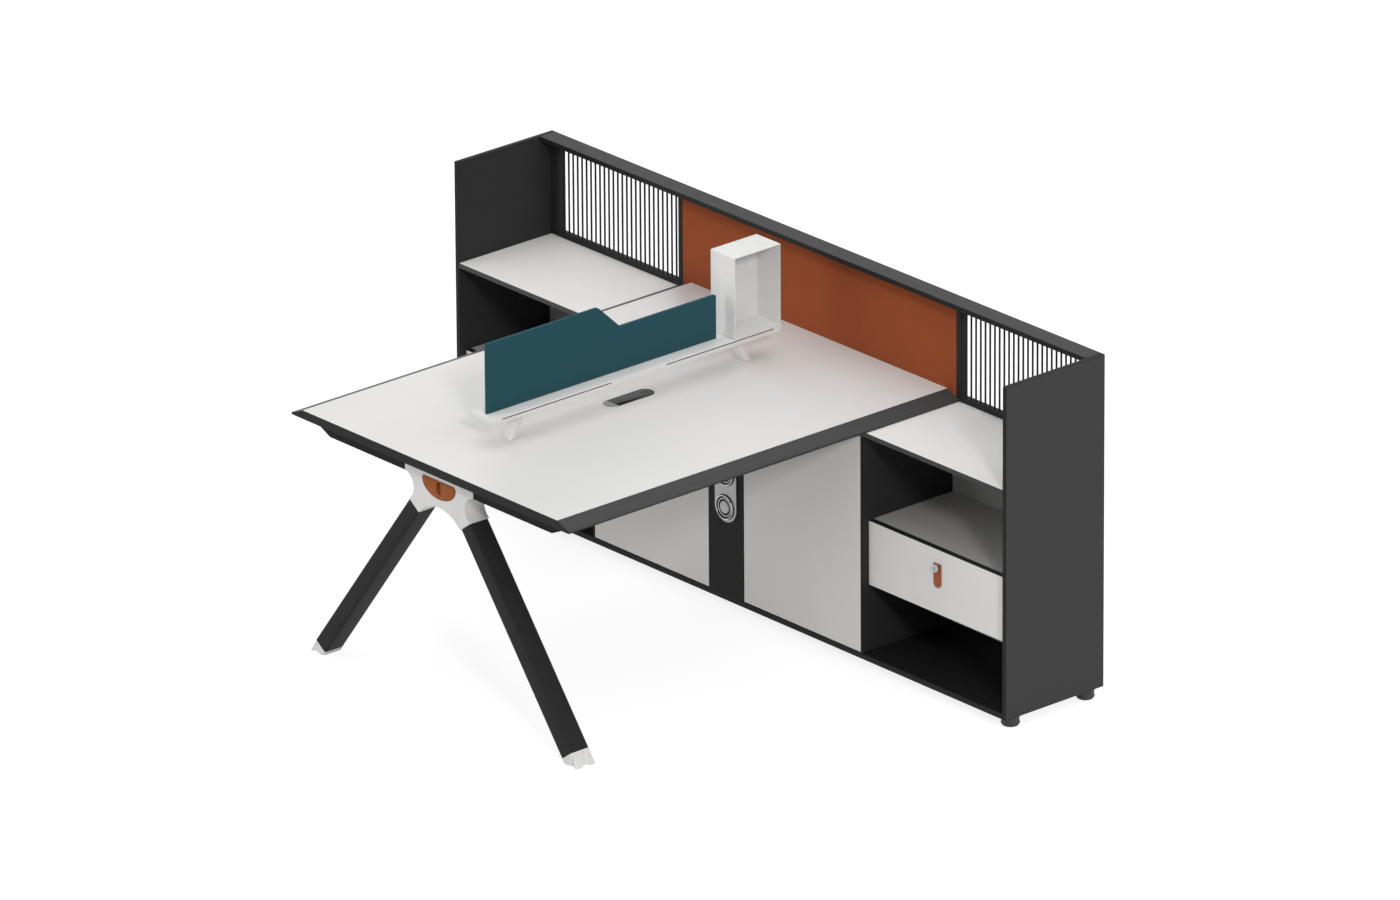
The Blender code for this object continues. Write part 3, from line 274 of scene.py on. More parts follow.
def cloth_look(name, tone, across, up):
    """A plain weave whose threads run along two axes, with uneven yarn and a faint fuzz."""
    look = Look(name, sheen=0.06, level=0.1)
    turn = 2 * pi / THREAD_PITCH

    def wave(axis, rate):
        return look.math("SINE", look.math("MULTIPLY", look.axes[axis], rate))

    on_top = look.math("GREATER_THAN", look.math("MULTIPLY", wave(across, turn), wave(up, turn)), 0.0)
    below = look.math("SUBTRACT", 1.0, on_top)
    warp = look.math("MULTIPLY", on_top, look.math("ABSOLUTE", wave(across, turn / 2)))
    weft = look.math("MULTIPLY", below, look.math("ABSOLUTE", wave(up, turn / 2)))
    thread = look.math("ADD", warp, weft)
    slubs = [look.noise(240.0, 2.0, 0.6, way) for way in ((0.15, 0.15, 1.6), (1.6, 1.6, 0.15))]
    yarn = look.math("MULTIPLY", look.math("ADD", *slubs), 0.5)
    melange = look.tints(look.span(yarn, 0.35, 0.65, 0.0, 1.0), tone, 0.86, 1.14)
    cloud = look.tints(look.spread(look.noise(4.0, 3.0)), tone, 0.95, 1.06)
    # Painted shade between the threads
    gap_painted_shade = look.span(thread, 0.0, 0.5, 0.45, 0.0)
    mixed = look.blend(gap_painted_shade, look.blend(0.5, melange, cloud), scaled(tone, 0.6))
    height = look.math("ADD", thread, look.math("MULTIPLY", yarn, 0.8))
    return look.finished(mixed, look.spread(yarn, 0.86, 0.97), height, 0.00022)


def leather_look():
    """Vegetable-tanned leather: cell grain, and painted shade in the creases."""
    look = Look("leather", level=0.4)
    grain = look.cells(1150.0)
    crease = look.cells(430.0, "DISTANCE_TO_EDGE")
    cloud = look.noise(60.0, 4.0, 0.6)
    base = look.blend(look.spread(cloud), (0.33, 0.073, 0.017), (0.46, 0.122, 0.033))
    base = look.blend(look.span(grain, 0.3, 0.75, 0.0, 0.3), base, (0.2, 0.04, 0.01))
    # Painted shade in the creases
    tone = look.blend(look.span(crease, 0.0, 0.05, 0.35, 0.0), base, (0.15, 0.03, 0.008))
    height = look.math("SUBTRACT", look.span(crease, 0.0, 0.08, 0.0, 1.0), grain)
    return look.finished(tone, look.spread(cloud, 0.44, 0.6), height, 0.00016)


def moulded_look(name, tone, gloss, metallic=0.0, grain=0.00005, level=0.5):
    """Injection-moulded or cast skin with a fine spark texture."""
    look = Look(name, metallic=metallic, level=level)
    skin = look.spark()
    mixed = look.tints(look.spread(look.noise(22.0, 3.0)), tone, 0.94, 1.06)
    return look.finished(mixed, look.spread(skin, gloss - 0.05, gloss + 0.06), skin, grain)


def insert_look():
    """Moulded orange plastic, with painted shade along the rim's joint and down in the recess."""
    look = Look("plastic_orange", level=0.15)
    skin = look.spark()
    cloud = look.spread(look.noise(30.0, 3.0))
    tone = look.blend(cloud, (0.33, 0.094, 0.022), (0.385, 0.112, 0.028))
    width = look.math("ABSOLUTE", look.math("DIVIDE", look.axes["x"], INSERT_WIDTH / 2))
    height = look.math("SUBTRACT", INSERT_TOP - INSERT_CORNER, look.axes["z"])
    height = look.math("MAXIMUM", height, 0.0)
    height = look.math("DIVIDE", height, INSERT_DROP + INSERT_SHOULDER - INSERT_CORNER)
    reach = look.math("ADD", look.math("POWER", width, 2.0), look.math("POWER", height, 2.0))
    # Painted shade along the rim's joint and down in the recess
    rim = look.span(reach, 0.9, 0.985, 0.0, 0.75)
    recess_painted_shade = look.span(look.axes["y"], CONNECTOR_FRONT + 0.0005, SLOT_BOTTOM, 0.0, 0.3)
    mixed = look.blend(look.math("MAXIMUM", rim, recess_painted_shade), tone, (0.06, 0.02, 0.009))
    return look.finished(mixed, look.spread(skin, 0.45, 0.56), skin, 0.00005)


def grommet_look():
    """Moulded plastic: a pale cap, and a dark flange and shaft round the lid, with painted shade deeper
    down the shaft.
    """
    look = Look("plastic_grommet", level=0.25)
    skin = look.spark()
    cloud = look.spread(look.noise(22.0, 3.0))
    pale = look.blend(cloud, (0.29, 0.29, 0.285), (0.33, 0.33, 0.325))
    dark = look.blend(cloud, (0.04, 0.041, 0.042), (0.05, 0.051, 0.052))
    past = look.math("GREATER_THAN", look.axes["y"], LID_START - 0.0015)
    # Below the desk top the shaft turns near-black: painted shade down the hole
    deep = look.math("LESS_THAN", look.axes["z"], DESK_TOP - 0.0012)
    flange = look.blend(deep, dark, (0.008, 0.008, 0.008))
    mixed = look.blend(look.math("MAXIMUM", past, deep), pale, flange)
    return look.finished(mixed, look.spread(skin, 0.36, 0.48), skin, 0.00005)


def brushed_look(name, tone, gloss, stretch):
    """Metal with a drawn grain along one direction."""
    look = Look(name, metallic=1.0)
    lines = look.noise(700.0, 3.0, 0.6, stretch)
    mixed = look.tints(look.spread(lines), tone, 0.9, 1.06)
    return look.finished(mixed, look.spread(lines, gloss - 0.06, gloss + 0.08), lines, 0.00003)


def chrome_look():
    """Polished metal with a faint haze."""
    look = Look("chrome", metallic=1.0)
    haze = look.noise(400.0, 3.0)
    tone = look.blend(haze, (0.40, 0.395, 0.385), (0.52, 0.515, 0.50))
    return look.finished(tone, look.spread(haze, 0.09, 0.19), haze, 0.00001)


def thread_look():
    """Waxed thread with a fine twist."""
    look = Look("waxed_thread", level=0.4)
    twist = look.noise(2600.0, 1.0, 0.5, (1.0, 1.0, 0.3))
    tone = look.blend(twist, (0.42, 0.17, 0.07), (0.68, 0.33, 0.16))
    return look.finished(tone, look.span(twist, 0.2, 0.8, 0.5, 0.7), twist, 0.00005)


# Each look's material, and the slot of the pieces that wear it
LOOKS = {
    "laminate": (laminate_look(), None),
    "desk_edge": (desk_edge_look(), None),
    # The legs' powder black, darkened as painted shade for the parts under the desk
    "black_metal_painted_shade": (powder_look("powder_black_painted_shade", scaled(POWDER_BLACK, 0.66), 0.52, level=0.07), None),
    "black_metal": (powder_look("powder_black", POWDER_BLACK, 0.52, level=0.07), "metal_dark"),
    "white_metal": (powder_look("powder_white", ENAMEL, 0.36, 0.00008, 1.02), "metal_white"),
    "white_cast": (
        powder_look("cast_white", scaled(ENAMEL, 0.99), 0.33, 0.00006, 1.02, 380.0), "metal_white"),
    "orange_cloth": (cloth_look("cloth_orange", ORANGE_CLOTH, "x", "z"), "panel_orange"),
    "teal_cloth": (cloth_look("cloth_teal", TEAL_CLOTH, "y", "z"), "panel_teal"),
    "leather": (leather_look(), "leather"),
    "thread": (thread_look(), "leather"),
    "slot_strip": (moulded_look("strip_brown", (0.055, 0.042, 0.035), 0.6, level=0.2), "metal_white"),
    "dark_plastic": (moulded_look("plastic_dark", (0.03, 0.03, 0.031), 0.5), "plastic_dark"),
    "lid_plastic": (
        moulded_look("plastic_lid", (0.062, 0.064, 0.066), 0.42, level=0.3), "plastic_dark"),
    # Near-black plastic: painted shade in the outlets' grooves and round the ring's foot
    "outlet_painted_shade": (
        moulded_look("plastic_outlet_painted_shade", (0.011, 0.011, 0.0115), 0.55, level=0.2), "plastic_dark"),
    "grommet": (grommet_look(), "plastic_grey"),
    "orange_plastic": (insert_look(), "plastic_orange"),
    "cast_zinc": (moulded_look("zinc_cast", (0.41, 0.41, 0.412), 0.42, 0.55), "zinc"),
    "satin_chrome": (moulded_look("chrome_satin", (0.62, 0.62, 0.625), 0.2, 1.0, 0.00001), "zinc"),
    "runner_steel": (
        brushed_look("runner_steel", (0.56, 0.57, 0.58), 0.34, (1.0, 0.03, 1.0)), "zinc"),
    "chrome": (chrome_look(), "chrome"),
}
# Besides the plain dark and white, these tones are darker copies of the graphite and the white board.
# They are painted shade for faces inside the bays and under the desk: the partitions, the bottom board,
# the column cover, the side panels' inner faces, the back panel's inner face and the drawer shelves.
BOARD_TONES = {
    "dark": GRAPHITE, "inner": scaled(GRAPHITE, 0.48), "deep": scaled(GRAPHITE, 0.235),
    "white": WARM_WHITE, "shade": scaled(WARM_WHITE, 0.47), "dark_lining": scaled(GRAPHITE, 0.5),
}
PALE_LEVEL = 0.4
DARK_LEVEL = 0.09
BOARDS = {
    "bottom_board": ("z", "deep"), "centre_top_board": ("z", "dark"), "column_cover": ("y", "deep"),
    "back_panel": ("y", "white", "shade"), "top_beam": ("z", "dark"),
}
BOARDS_PER_SIDE = {
    "side_panel": ("x", "dark", "dark_lining"), "partition": ("x", "inner"),
    "column_side": ("x", "dark"), "top_board": ("z", "white"), "door": ("y", "white"),
    "drawer_shelf": ("z", "shade"), "drawer_base": ("z", "dark"), "drawer_front": ("y", "white"),
}


def dress(node, material):
    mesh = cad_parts[node].data
    mesh.materials.clear()
    mesh.materials.append(material)


def dress_boards():
    """Board materials for the solids that are plain boards."""
    boards = dict(BOARDS)
    for side, _ in SIDES:
        for board, coat in BOARDS_PER_SIDE.items():
            boards[f"{side}_{board}"] = coat
    for node, (thin, *tones) in boards.items():
        face, inner_face_painted_shade = (*(BOARD_TONES[tone] for tone in tones), None)[:2]
        level = PALE_LEVEL if tones[0] in ("white", "shade") else DARK_LEVEL
        dress(node, board_look(node, thin, face, level, inner_face_painted_shade))


def dress_other_solids():
    """Materials for the solids that keep their own shape."""
    dress("desktop_core", LOOKS["desk_edge"][0])
    dress("desktop_laminate", LOOKS["laminate"][0])
    # Darker powder black as painted shade under the desk
    for node in ("front_crossbeam", "cable_channel", "channel_bracket"):
        dress(node, LOOKS["black_metal_painted_shade"][0])
    for side, _ in SIDES:
        dress(f"{side}_drawer_box", LOOKS["white_metal"][0])
        for hand, _ in SIDES:
            dress(f"{side}_drawer_{hand}_runner", LOOKS["runner_steel"][0])


def link_object(name, data):
    made = bpy.data.objects.new(name, data)
    bpy.context.scene.collection.objects.link(made)
    return made


def mesh_object(name, bm):
    """Turns a mesh under construction into an object of the scene."""
    bmesh.ops.recalc_face_normals(bm, faces=bm.faces)
    mesh = bpy.data.meshes.new(name)
    bm.to_mesh(mesh)
    bm.free()
    return link_object(name, mesh)


def crisp(made, angle=32):
    """Smooth shading that breaks at the edges that turn by more than the angle."""
    made.data.shade_smooth()
    made.data.set_sharp_from_angle(angle=radians(angle))


def piece(name, bm, look, stands_for=None, body=BODY, angle=32):
    """Turns a mesh under construction into a piece that rides on a body of the frame."""
    material, slot = LOOKS[look]
    made = mesh_object(name, bm)
    made.data.materials.append(material)
    crisp(made, angle)
    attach(made, body)
    if stands_for:
        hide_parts(stands_for)
    return made


def eased(bm, width, segments=3, limit=40):
    """Rounds the edges that turn by more than the limit."""
    bmesh.ops.remove_doubles(bm, verts=bm.verts, dist=0.000001)
    bmesh.ops.recalc_face_normals(bm, faces=bm.faces)
    chosen = [
        edge for edge in bm.edges
        if edge.is_manifold and edge.calc_face_angle(0) > radians(limit)]
    bmesh.ops.bevel(bm, geom=chosen, offset=width, segments=segments, profile=0.5, affect="EDGES",
                    clamp_overlap=True)
    return bm


def carve(target, bm, operation="DIFFERENCE"):
    """Cuts a mesh under construction out of a piece, or joins it on."""
    tool = mesh_object("tool", bm)
    change = target.modifiers.new(operation.lower(), "BOOLEAN")
    change.operation = operation
    change.solver = "EXACT"
    change.object = tool
    bpy.context.view_layer.update()
    evaluated = target.evaluated_get(bpy.context.evaluated_depsgraph_get())
    shaped = bpy.data.meshes.new_from_object(evaluated)
    target.modifiers.clear()
    old = target.data
    target.data = shaped
    bpy.data.meshes.remove(old)
    bpy.data.objects.remove(tool, do_unlink=True)
    crisp(target)


def soften(target, width, segments, limit):
    """Rounds a carved piece's edges."""
    bm = bmesh.new()
    bm.from_mesh(target.data)
    eased(bm, width, segments, limit).to_mesh(target.data)
    bm.free()
    crisp(target)


def middle_of(low, high):
    return [(low[axis] + high[axis]) / 2 for axis in range(3)]


def block(low, high):
    """A box between two corners."""
    bm = bmesh.new()
    made = bmesh.ops.create_cube(bm, size=1.0)
    size = [high[axis] - low[axis] for axis in range(3)]
    bmesh.ops.scale(bm, vec=size, verts=made["verts"])
    bmesh.ops.translate(bm, vec=middle_of(low, high), verts=made["verts"])
    return bm


def skin(rings, ends="capped"):
    """A mesh through rings of points, of which one may be a single point.

    The first and the last ring are capped, joined to each other, or left open.
    """
    bm = bmesh.new()
    rings = [[bm.verts.new(point) for point in ring] for ring in rings]
    if ends == "capped":
        bm.faces.new(rings[0])
        bm.faces.new(rings[-1])
    following = rings[1:] + rings[:1] if ends == "joined" else rings[1:]
    for first, second in zip(rings, following):
        count = max(len(first), len(second))
        for index in range(count):
            after = (index + 1) % count
            corners = [first[index % len(first)], first[after % len(first)]]
            corners += [second[after % len(second)], second[index % len(second)]]
            bm.faces.new(list(dict.fromkeys(corners)))
    return bm


PLACES = {
    "x": lambda u, v, t: (t, u, v),
    "y": lambda u, v, t: (u, t, v),
    "z": lambda u, v, t: (u, v, t),
}


def prism(outline, axis, low, high):
    """An outline pushed along an axis, closed at both ends."""
    return skin([[PLACES[axis](u, v, level) for u, v in outline] for level in (low, high)])


def turned(profile, centre, axis="y", sign=1, steps=64):
    """A profile of (radius, height) points turned about an axis through the centre."""
    rings = []
    for radius, height in profile:
        ring = []
        for step in range(steps if radius else 1):
            angle = 2 * pi * step / steps
            place = PLACES[axis](radius * cos(angle), radius * sin(angle), sign * height)
            ring.append(Vector(centre) + Vector(place))
        rings.append(ring)
    return skin(rings, "open")


def arc(start, end, rise, steps):
    """Points after start, up to and with end, on an arc that bulges left of start to end."""
    start, end = Vector(start), Vector(end)
    half = (end - start).length / 2
    radius = (half * half + rise * rise) / (2 * rise)
    along = (end - start).normalized()
    left = Vector((-along.y, along.x))
    centre = (start + end) / 2 + left * (rise - radius)
    sweep = 2 * asin(min(1.0, half / radius))
    if rise > half:
        sweep = 2 * pi - sweep
    arm = start - centre
    points = []
    for step in range(1, steps + 1):
        angle = -sweep * step / steps
        across = arm.x * cos(angle) - arm.y * sin(angle)
        up = arm.x * sin(angle) + arm.y * cos(angle)
        points.append(tuple(centre + Vector((across, up))))
    return points


def rounded(corners, steps=6):
    """An outline from (u, v, radius) corners, each with its own round."""
    points = []
    for index, (u, v, radius) in enumerate(corners):
        if radius == 0:
            points.append((u, v))
            continue
        corner = Vector((u, v))
        before = (Vector(corners[index - 1][:2]) - corner).normalized()
        after = (Vector(corners[(index + 1) % len(corners)][:2]) - corner).normalized()
        opening = before.angle(after)
        reach = radius / tan(opening / 2)
        first = corner + before * reach
        last = corner + after * reach
        middle = corner + (before + after).normalized() * radius / sin(opening / 2)
        start = atan2(first.y - middle.y, first.x - middle.x)
        sweep = atan2(last.y - middle.y, last.x - middle.x) - start
        sweep = (sweep + pi) % (2 * pi) - pi
        for step in range(steps + 1):
            angle = start + sweep * step / steps
            points.append((middle.x + radius * cos(angle), middle.y + radius * sin(angle)))
    return points


def rounded_rectangle(low_u, high_u, low_v, high_v, radius):
    corners = ((low_u, low_v), (high_u, low_v), (high_u, high_v), (low_u, high_v))
    return rounded([(u, v, radius) for u, v in corners], 4)


def stadium(width, length, centre, steps=10):
    """An outline with round ends, its length along the second coordinate."""
    radius = width / 2
    straight = length / 2 - radius
    points = []
    for end, start in ((1, 0.0), (-1, pi)):
        for step in range(steps + 1):
            angle = start + pi * step / steps
            v = centre[1] + end * straight + radius * sin(angle)
            points.append((centre[0] + radius * cos(angle), v))
    return points


SOCKET_X = 0.112
SOCKET_Z = 0.5973
LEG_MIDDLE = -0.6785
LEG_ANGLE = radians(36.9)
LEG_WIDTH = 0.049
LEG_DEPTH = 0.072
FOOT_HEEL_HEIGHT = 0.0115
LEG_LENGTH = (SOCKET_Z - FOOT_HEEL_HEIGHT - LEG_WIDTH / 2 * sin(LEG_ANGLE)) / cos(LEG_ANGLE)
LEG_ROUND = 0.0075
LEG_WALL = 0.0025
END_ROLL = 0.0009
STRIP_WIDTH = 0.046
STRIP_FOOT_WIDTH = 0.014
STRIP_DROP = 0.0035
CREASE_WIDTH = 0.0042
CREASE_DEPTH = 0.0022


def along_leg(side, distance, across):
    """A point in the leg's own directions from its top, in the XZ plane."""
    x = SOCKET_X + distance * sin(LEG_ANGLE) + across * cos(LEG_ANGLE)
    z = SOCKET_Z - distance * cos(LEG_ANGLE) + across * sin(LEG_ANGLE)
    return side * x, z


def leg_section(inset=0.0, share=0.0):
    """The tube seen along the leg at a share of its length, as (across, y).

    A crease runs along its outer face and marks off a strip that slopes to the rear corner. The
    strip is narrower at the foot.
    """
    half = LEG_WIDTH / 2 - inset
    deep = LEG_DEPTH / 2 - inset
    crease = deep - (STRIP_WIDTH + (STRIP_FOOT_WIDTH - STRIP_WIDTH) * share)
    side = CREASE_WIDTH / 2
    return rounded([
        (-half, -deep, LEG_ROUND), (half, -deep, LEG_ROUND / 2), (half, crease - side, side / 3),
        (half - CREASE_DEPTH, crease, side / 6), (half - CREASE_DEPTH / 5, crease + side, side / 3),
        (half - STRIP_DROP, deep, LEG_ROUND / 2), (-half, deep, LEG_ROUND)], 5)


def leg_ring(side, distance, inset, share=0.0):
    """The points of the tube's section at a distance from the leg's top."""
    ring = []
    for across, y in leg_section(inset, share):
        x, z = along_leg(side, distance, across)
        ring.append((x, LEG_MIDDLE + y, z))
    return ring


def legs():
    """Two tubes with rolled ends, open inside."""
    top = GAP
    foot = LEG_LENGTH - GAP
    stations = (
        (top, END_ROLL), (top + END_ROLL, 0.0), (foot - END_ROLL, 0.0), (foot, END_ROLL),
        (foot, LEG_WALL), (top, LEG_WALL))
    for name, side in SIDES:
        rings = [leg_ring(side, way, inset, way / LEG_LENGTH) for way, inset in stations]
        piece(f"{name}_leg_tube", skin(rings, "joined"), "black_metal", f"{name}_leg", angle=25)


FOOT_POINTS = 320
FOOT_LEVELS = 14
FOOT_ROUND = 0.010
FOOT_INSET = 0.0004
FOOT_SHOULDER = 2.6
HEEL_INSET = 0.0055
TOE_REACH = 0.0304
# Share of the way round at the top and at the floor, half width as such a share, and depth
GROOVES = (
    (0.25, 0.17, 0.03, 0.0085), (0.447, 0.372, 0.034, 0.0095), (0.56, 0.60, 0.028, 0.006),
    (0.0, 0.93, 0.022, 0.004))
# Shares of the way round where an arch starts and ends, and its rise
ARCHES = ((0.07, 0.2, 0.0032), (0.3, 0.425, 0.0066), (0.54, 0.66, 0.004))


def even_rectangle(half_u, half_v, radius):
    """As many points on each side of a rectangle, pulled onto rounds near its corners."""
    corners = ((-half_u, -half_v), (half_u, -half_v), (half_u, half_v), (-half_u, half_v))
    steps = ((1, 0), (0, 1), (-1, 0), (0, -1))
    per_side = FOOT_POINTS // 4
    points = []
    for corner, step, half in zip(corners, steps, (half_u, half_v) * 2):
        for index in range(per_side):
            way = 2 * half * index / per_side
            u = corner[0] + step[0] * way
            v = corner[1] + step[1] * way
            over_u = abs(u) - (half_u - radius)
            over_v = abs(v) - (half_v - radius)
            if over_u > 0 and over_v > 0:
                share = radius / hypot(over_u, over_v)
                u = copysign(half_u - radius + over_u * share, u)
                v = copysign(half_v - radius + over_v * share, v)
            points.append((u, v))
    return points


def groove_depth(share, fall):
    """How far the grooves pull a point in, at a share of the way round and of the fall."""
    pull = 0.0
    for start, end, width, depth in GROOVES:
        place = start + (end - start) * fall
        near = abs((share - place + 0.5) % 1.0 - 0.5)
        if near < width:
            pull += depth * (1 - near / width) ** 1.1 * min(1.0, fall * FOOT_SHOULDER)
    return pull


def arch_rise(share, fall):
    """How far the arches lift a point off the floor."""
    lift = 0.0
    for start, end, rise in ARCHES:
        if start < share < end:
            lift += rise * sin(pi * (share - start) / (end - start)) ** 0.7 * fall ** 3
    return lift


def leg_feet():
    """A fluted cast foot: lobes run down from the tube to pads, with arches between them."""
    half_depth = LEG_DEPTH / 2 - FOOT_INSET
    top = even_rectangle(LEG_WIDTH / 2 - FOOT_INSET, half_depth, LEG_ROUND - 0.001)
    heel_x = along_leg(1, LEG_LENGTH, -LEG_WIDTH / 2)[0] + HEEL_INSET
    toe_x = along_leg(1, LEG_LENGTH, LEG_WIDTH / 2)[0] + TOE_REACH
    middle_x = (heel_x + toe_x) / 2
    base = even_rectangle((toe_x - heel_x) / 2 - 0.0006, half_depth, FOOT_ROUND)
    for name, side in SIDES:
        rings = []
        for level in range(FOOT_LEVELS + 1):
            fall = level / FOOT_LEVELS
            ring = []
            for index, ((across, y_top), (u_low, y_low)) in enumerate(zip(top, base)):
                share = index / FOOT_POINTS
                x_top, z_top = along_leg(1, LEG_LENGTH + FOOT_INSET, across)
                x = x_top + (middle_x + u_low - x_top) * fall
                y = y_top + (y_low - y_top) * fall
                z = z_top * (1 - fall) + arch_rise(share, fall)
                towards = Vector((middle_x - x, -y))
                if towards.length:
                    towards.normalize()
                pull = groove_depth(share, fall)
                x += towards.x * pull
                y += towards.y * pull
                ring.append((side * x, LEG_MIDDLE + y, z))
            rings.append(ring)
        bm = eased(skin(rings), 0.0007, 2, 50)
        piece(f"{name}_cast_foot", bm, "white_cast", f"{name}_leg_foot", angle=38)


FLARE_HALF = 0.149
FLARE_LOW = DESK_UNDERSIDE - 0.042
SCOOP_RISE = 0.029
SOCKET_HALF = 0.0265
ARCH_RISE = 0.041
# Distance from the leg's top and inset of the plug that holds the tube
PLUG = ((0.0, 0.0032), (0.030, 0.0032), (0.0312, 0.0045))
# Inset from the insert's outline and rise over its face, from the rim inwards
INSERT_PROFILE = (
    (0.0, 0.0022), (-0.0007, 0.0014), (-0.0022, 0.0011), (-0.0030, 0.0016), (-0.0038, 0.0010),
    (-0.009, 0.0005), (-0.02, 0.0002))
INSERT_THICK = 0.0045


def insert_outline(clearance, steps=40, corner_steps=8):
    """The insert's edge: small rounds at the top corners and a half ellipse below."""
    half = INSERT_WIDTH / 2 + clearance
    turn = max(INSERT_CORNER + clearance, 0.001)
    waist = INSERT_TOP + clearance - turn
    drop = waist - (INSERT_TOP - INSERT_SHOULDER - INSERT_DROP - clearance)
    points = []
    for start, side in ((0.0, 1), (0.5 * pi, -1)):
        for step in range(corner_steps + 1):
            angle = start + 0.5 * pi * step / corner_steps
            u = side * (half - turn) + turn * cos(angle)
            points.append((u, waist + turn * sin(angle)))
    for step in range(1, steps):
        angle = pi + pi * step / steps
        points.append((half * cos(angle), waist + drop * sin(angle)))
    return points


def slot_prism(growth, front, back):
    """The insert's upright recess, larger by the growth."""
    outline = stadium(SLOT_WIDTH + growth, SLOT_LENGTH + growth, (0, SLOT_HEIGHT))
    return prism(outline, "y", front, back)


def leg_connector():
    """The cast head of the leg with rolled edges, a pocket for the insert and two plugs."""
    (outer_left, inner_left), (outer_right, inner_right) = [
        [along_leg(side, 0, across) for across in (SOCKET_HALF, -SOCKET_HALF)] for _, side in SIDES]
    left, right = ((side * FLARE_HALF, FLARE_LOW) for _, side in SIDES)
    outline = [
        (FLARE_HALF, BEAM_TOP), (-FLARE_HALF, BEAM_TOP), left, *arc(left, outer_left, SCOOP_RISE, 22),
        inner_left, *arc(inner_left, inner_right, ARCH_RISE, 26), outer_right,
        *arc(outer_right, right, SCOOP_RISE, 22)]
    bm = prism(outline, "y", CONNECTOR_FRONT, CONNECTOR_BACK)
    cast = piece("leg_head", bm, "white_cast", "leg_connector")
    carve(cast, block((-FLARE_HALF - PAST, CROSSBEAM_FRONT - GAP, BEAM_BOTTOM - GAP),
                      (FLARE_HALF + PAST, CONNECTOR_BACK + PAST, DESK_TOP)))
    carve(cast, prism(insert_outline(GAP), "y", CONNECTOR_FRONT - PAST, INSERT_SEAT))
    carve(cast, slot_prism(0.004, CONNECTOR_FRONT - PAST, SLOT_BOTTOM + 0.003))
    soften(cast, 0.0011, 3, 38)
    for name, side in SIDES:
        bm = skin([leg_ring(side, distance, inset) for distance, inset in PLUG])
        piece(f"{name}_leg_plug", bm, "white_cast")


def connector_insert():
    """A domed plate with a rim line and a deep upright recess with its own walls."""
    back = INSERT_SEAT - GAP
    face = back - INSERT_THICK
    layers = [(0.0, back)] + [(inset, face + rise) for inset, rise in INSERT_PROFILE]
    bm = skin([[(u, level, v) for u, v in insert_outline(inset)] for inset, level in layers])
    plate = piece("head_insert", bm, "orange_plastic", "connector_insert")
    carve(plate, slot_prism(0.003, back - 0.0015, SLOT_BOTTOM + 0.0015), "UNION")
    carve(plate, slot_prism(0.0, face - 0.004, SLOT_BOTTOM))
    soften(plate, 0.0004, 2, 50)


CABLE_SLOT_INSET = 0.029
CABLE_SLOT_LENGTH = 0.413
CABLE_SLOT_TOP = BRIDGE_TOP - 0.0033
CABLE_SLOT_HEIGHT = 0.0034
CABLE_SLOT_DEPTH = 0.005
STRIP_PLAY = 0.0004
SCREEN_GROOVE_HALF = 0.0053
SCREEN_GROOVE_DEPTH = 0.0063
STAND_HALF = 0.0185
STAND_THICK = 0.0205
STAND_INSET = 0.1285
STAND_SPLAY = 0.041


def bridge():
    """The bridge shelf with its long cable slots, its legs, and the groove of the screen."""
    bm = block((-BRIDGE_HALF, BRIDGE_FRONT, BRIDGE_UNDERSIDE), (BRIDGE_HALF, BRIDGE_BACK, BRIDGE_TOP))
    shelf = piece("bridge_board", eased(bm, 0.0014), "white_metal", "bridge_shelf")
    top = CABLE_SLOT_TOP
    slot_back = BRIDGE_HALF - CABLE_SLOT_DEPTH
    starts = (("front", BRIDGE_FRONT + CABLE_SLOT_INSET),
              ("rear", BRIDGE_BACK - CABLE_SLOT_INSET - CABLE_SLOT_LENGTH))
    for hand, side in SIDES:
        for place, start in starts:
            end = start + CABLE_SLOT_LENGTH
            outline = rounded_rectangle(start, end, top - CABLE_SLOT_HEIGHT, top, 0.0012)
            carve(shelf, prism(outline, "x", *sorted((side * slot_back, side * (BRIDGE_HALF + 0.01)))))
            near, far = sorted((side * slot_back, side * (BRIDGE_HALF - STRIP_PLAY)))
            bm = block((near, start + STRIP_PLAY, top - 0.0033), (far, end - STRIP_PLAY, top - 0.0001))
            piece(f"{place}_{hand}_slot_strip", eased(bm, 0.0004, 2), "slot_strip")
    low = (-SCREEN_GROOVE_HALF, SCREEN_START - GAP, BRIDGE_TOP - SCREEN_GROOVE_DEPTH)
    high = (SCREEN_GROOVE_HALF, SCREEN_START + SCREEN_LENGTH + GAP, BRIDGE_TOP + PAST)
    carve(shelf, block(low, high))
    for name, end, way in (("front", BRIDGE_FRONT, 1), ("rear", BRIDGE_BACK, -1)):
        upper = end + way * STAND_INSET
        foot = upper - way * STAND_SPLAY
        thick = way * STAND_THICK
        outline = [(upper, BRIDGE_UNDERSIDE - GAP), (upper + thick, BRIDGE_UNDERSIDE - GAP),
                   (foot + thick, DESK_TOP + GAP), (foot, DESK_TOP + GAP)]
        bm = eased(prism(outline, "x", -STAND_HALF, STAND_HALF), 0.0016, 3, 30)
        piece(f"{name}_bridge_stand", bm, "white_metal", f"{name}_bridge_leg")


BOX_WALL = 0.0025


def open_box():
    """The folded sheet box, open towards +X, with rolled rims and bend radii."""
    low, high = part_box("bridge_box")
    box = piece("tray_box", eased(block(low, high), 0.0022, 4), "white_metal", "bridge_box")
    inner = rounded_rectangle(
        low.y + BOX_WALL, high.y - BOX_WALL, low.z + BOX_WALL, high.z - BOX_WALL, 0.0012)
    carve(box, prism(inner, "x", low.x + BOX_WALL, high.x + PAST))


SCREEN_HALF = 0.005
SCREEN_BOTTOM = BRIDGE_TOP - 0.006
SCREEN_TOP = BRIDGE_TOP + 0.214
SCREEN_LOW_TOP = BRIDGE_TOP + 0.1352
SCREEN_APEX = SCREEN_START + 0.421
SCREEN_SLOPE = 0.083
SCREEN_CORNER = 0.006


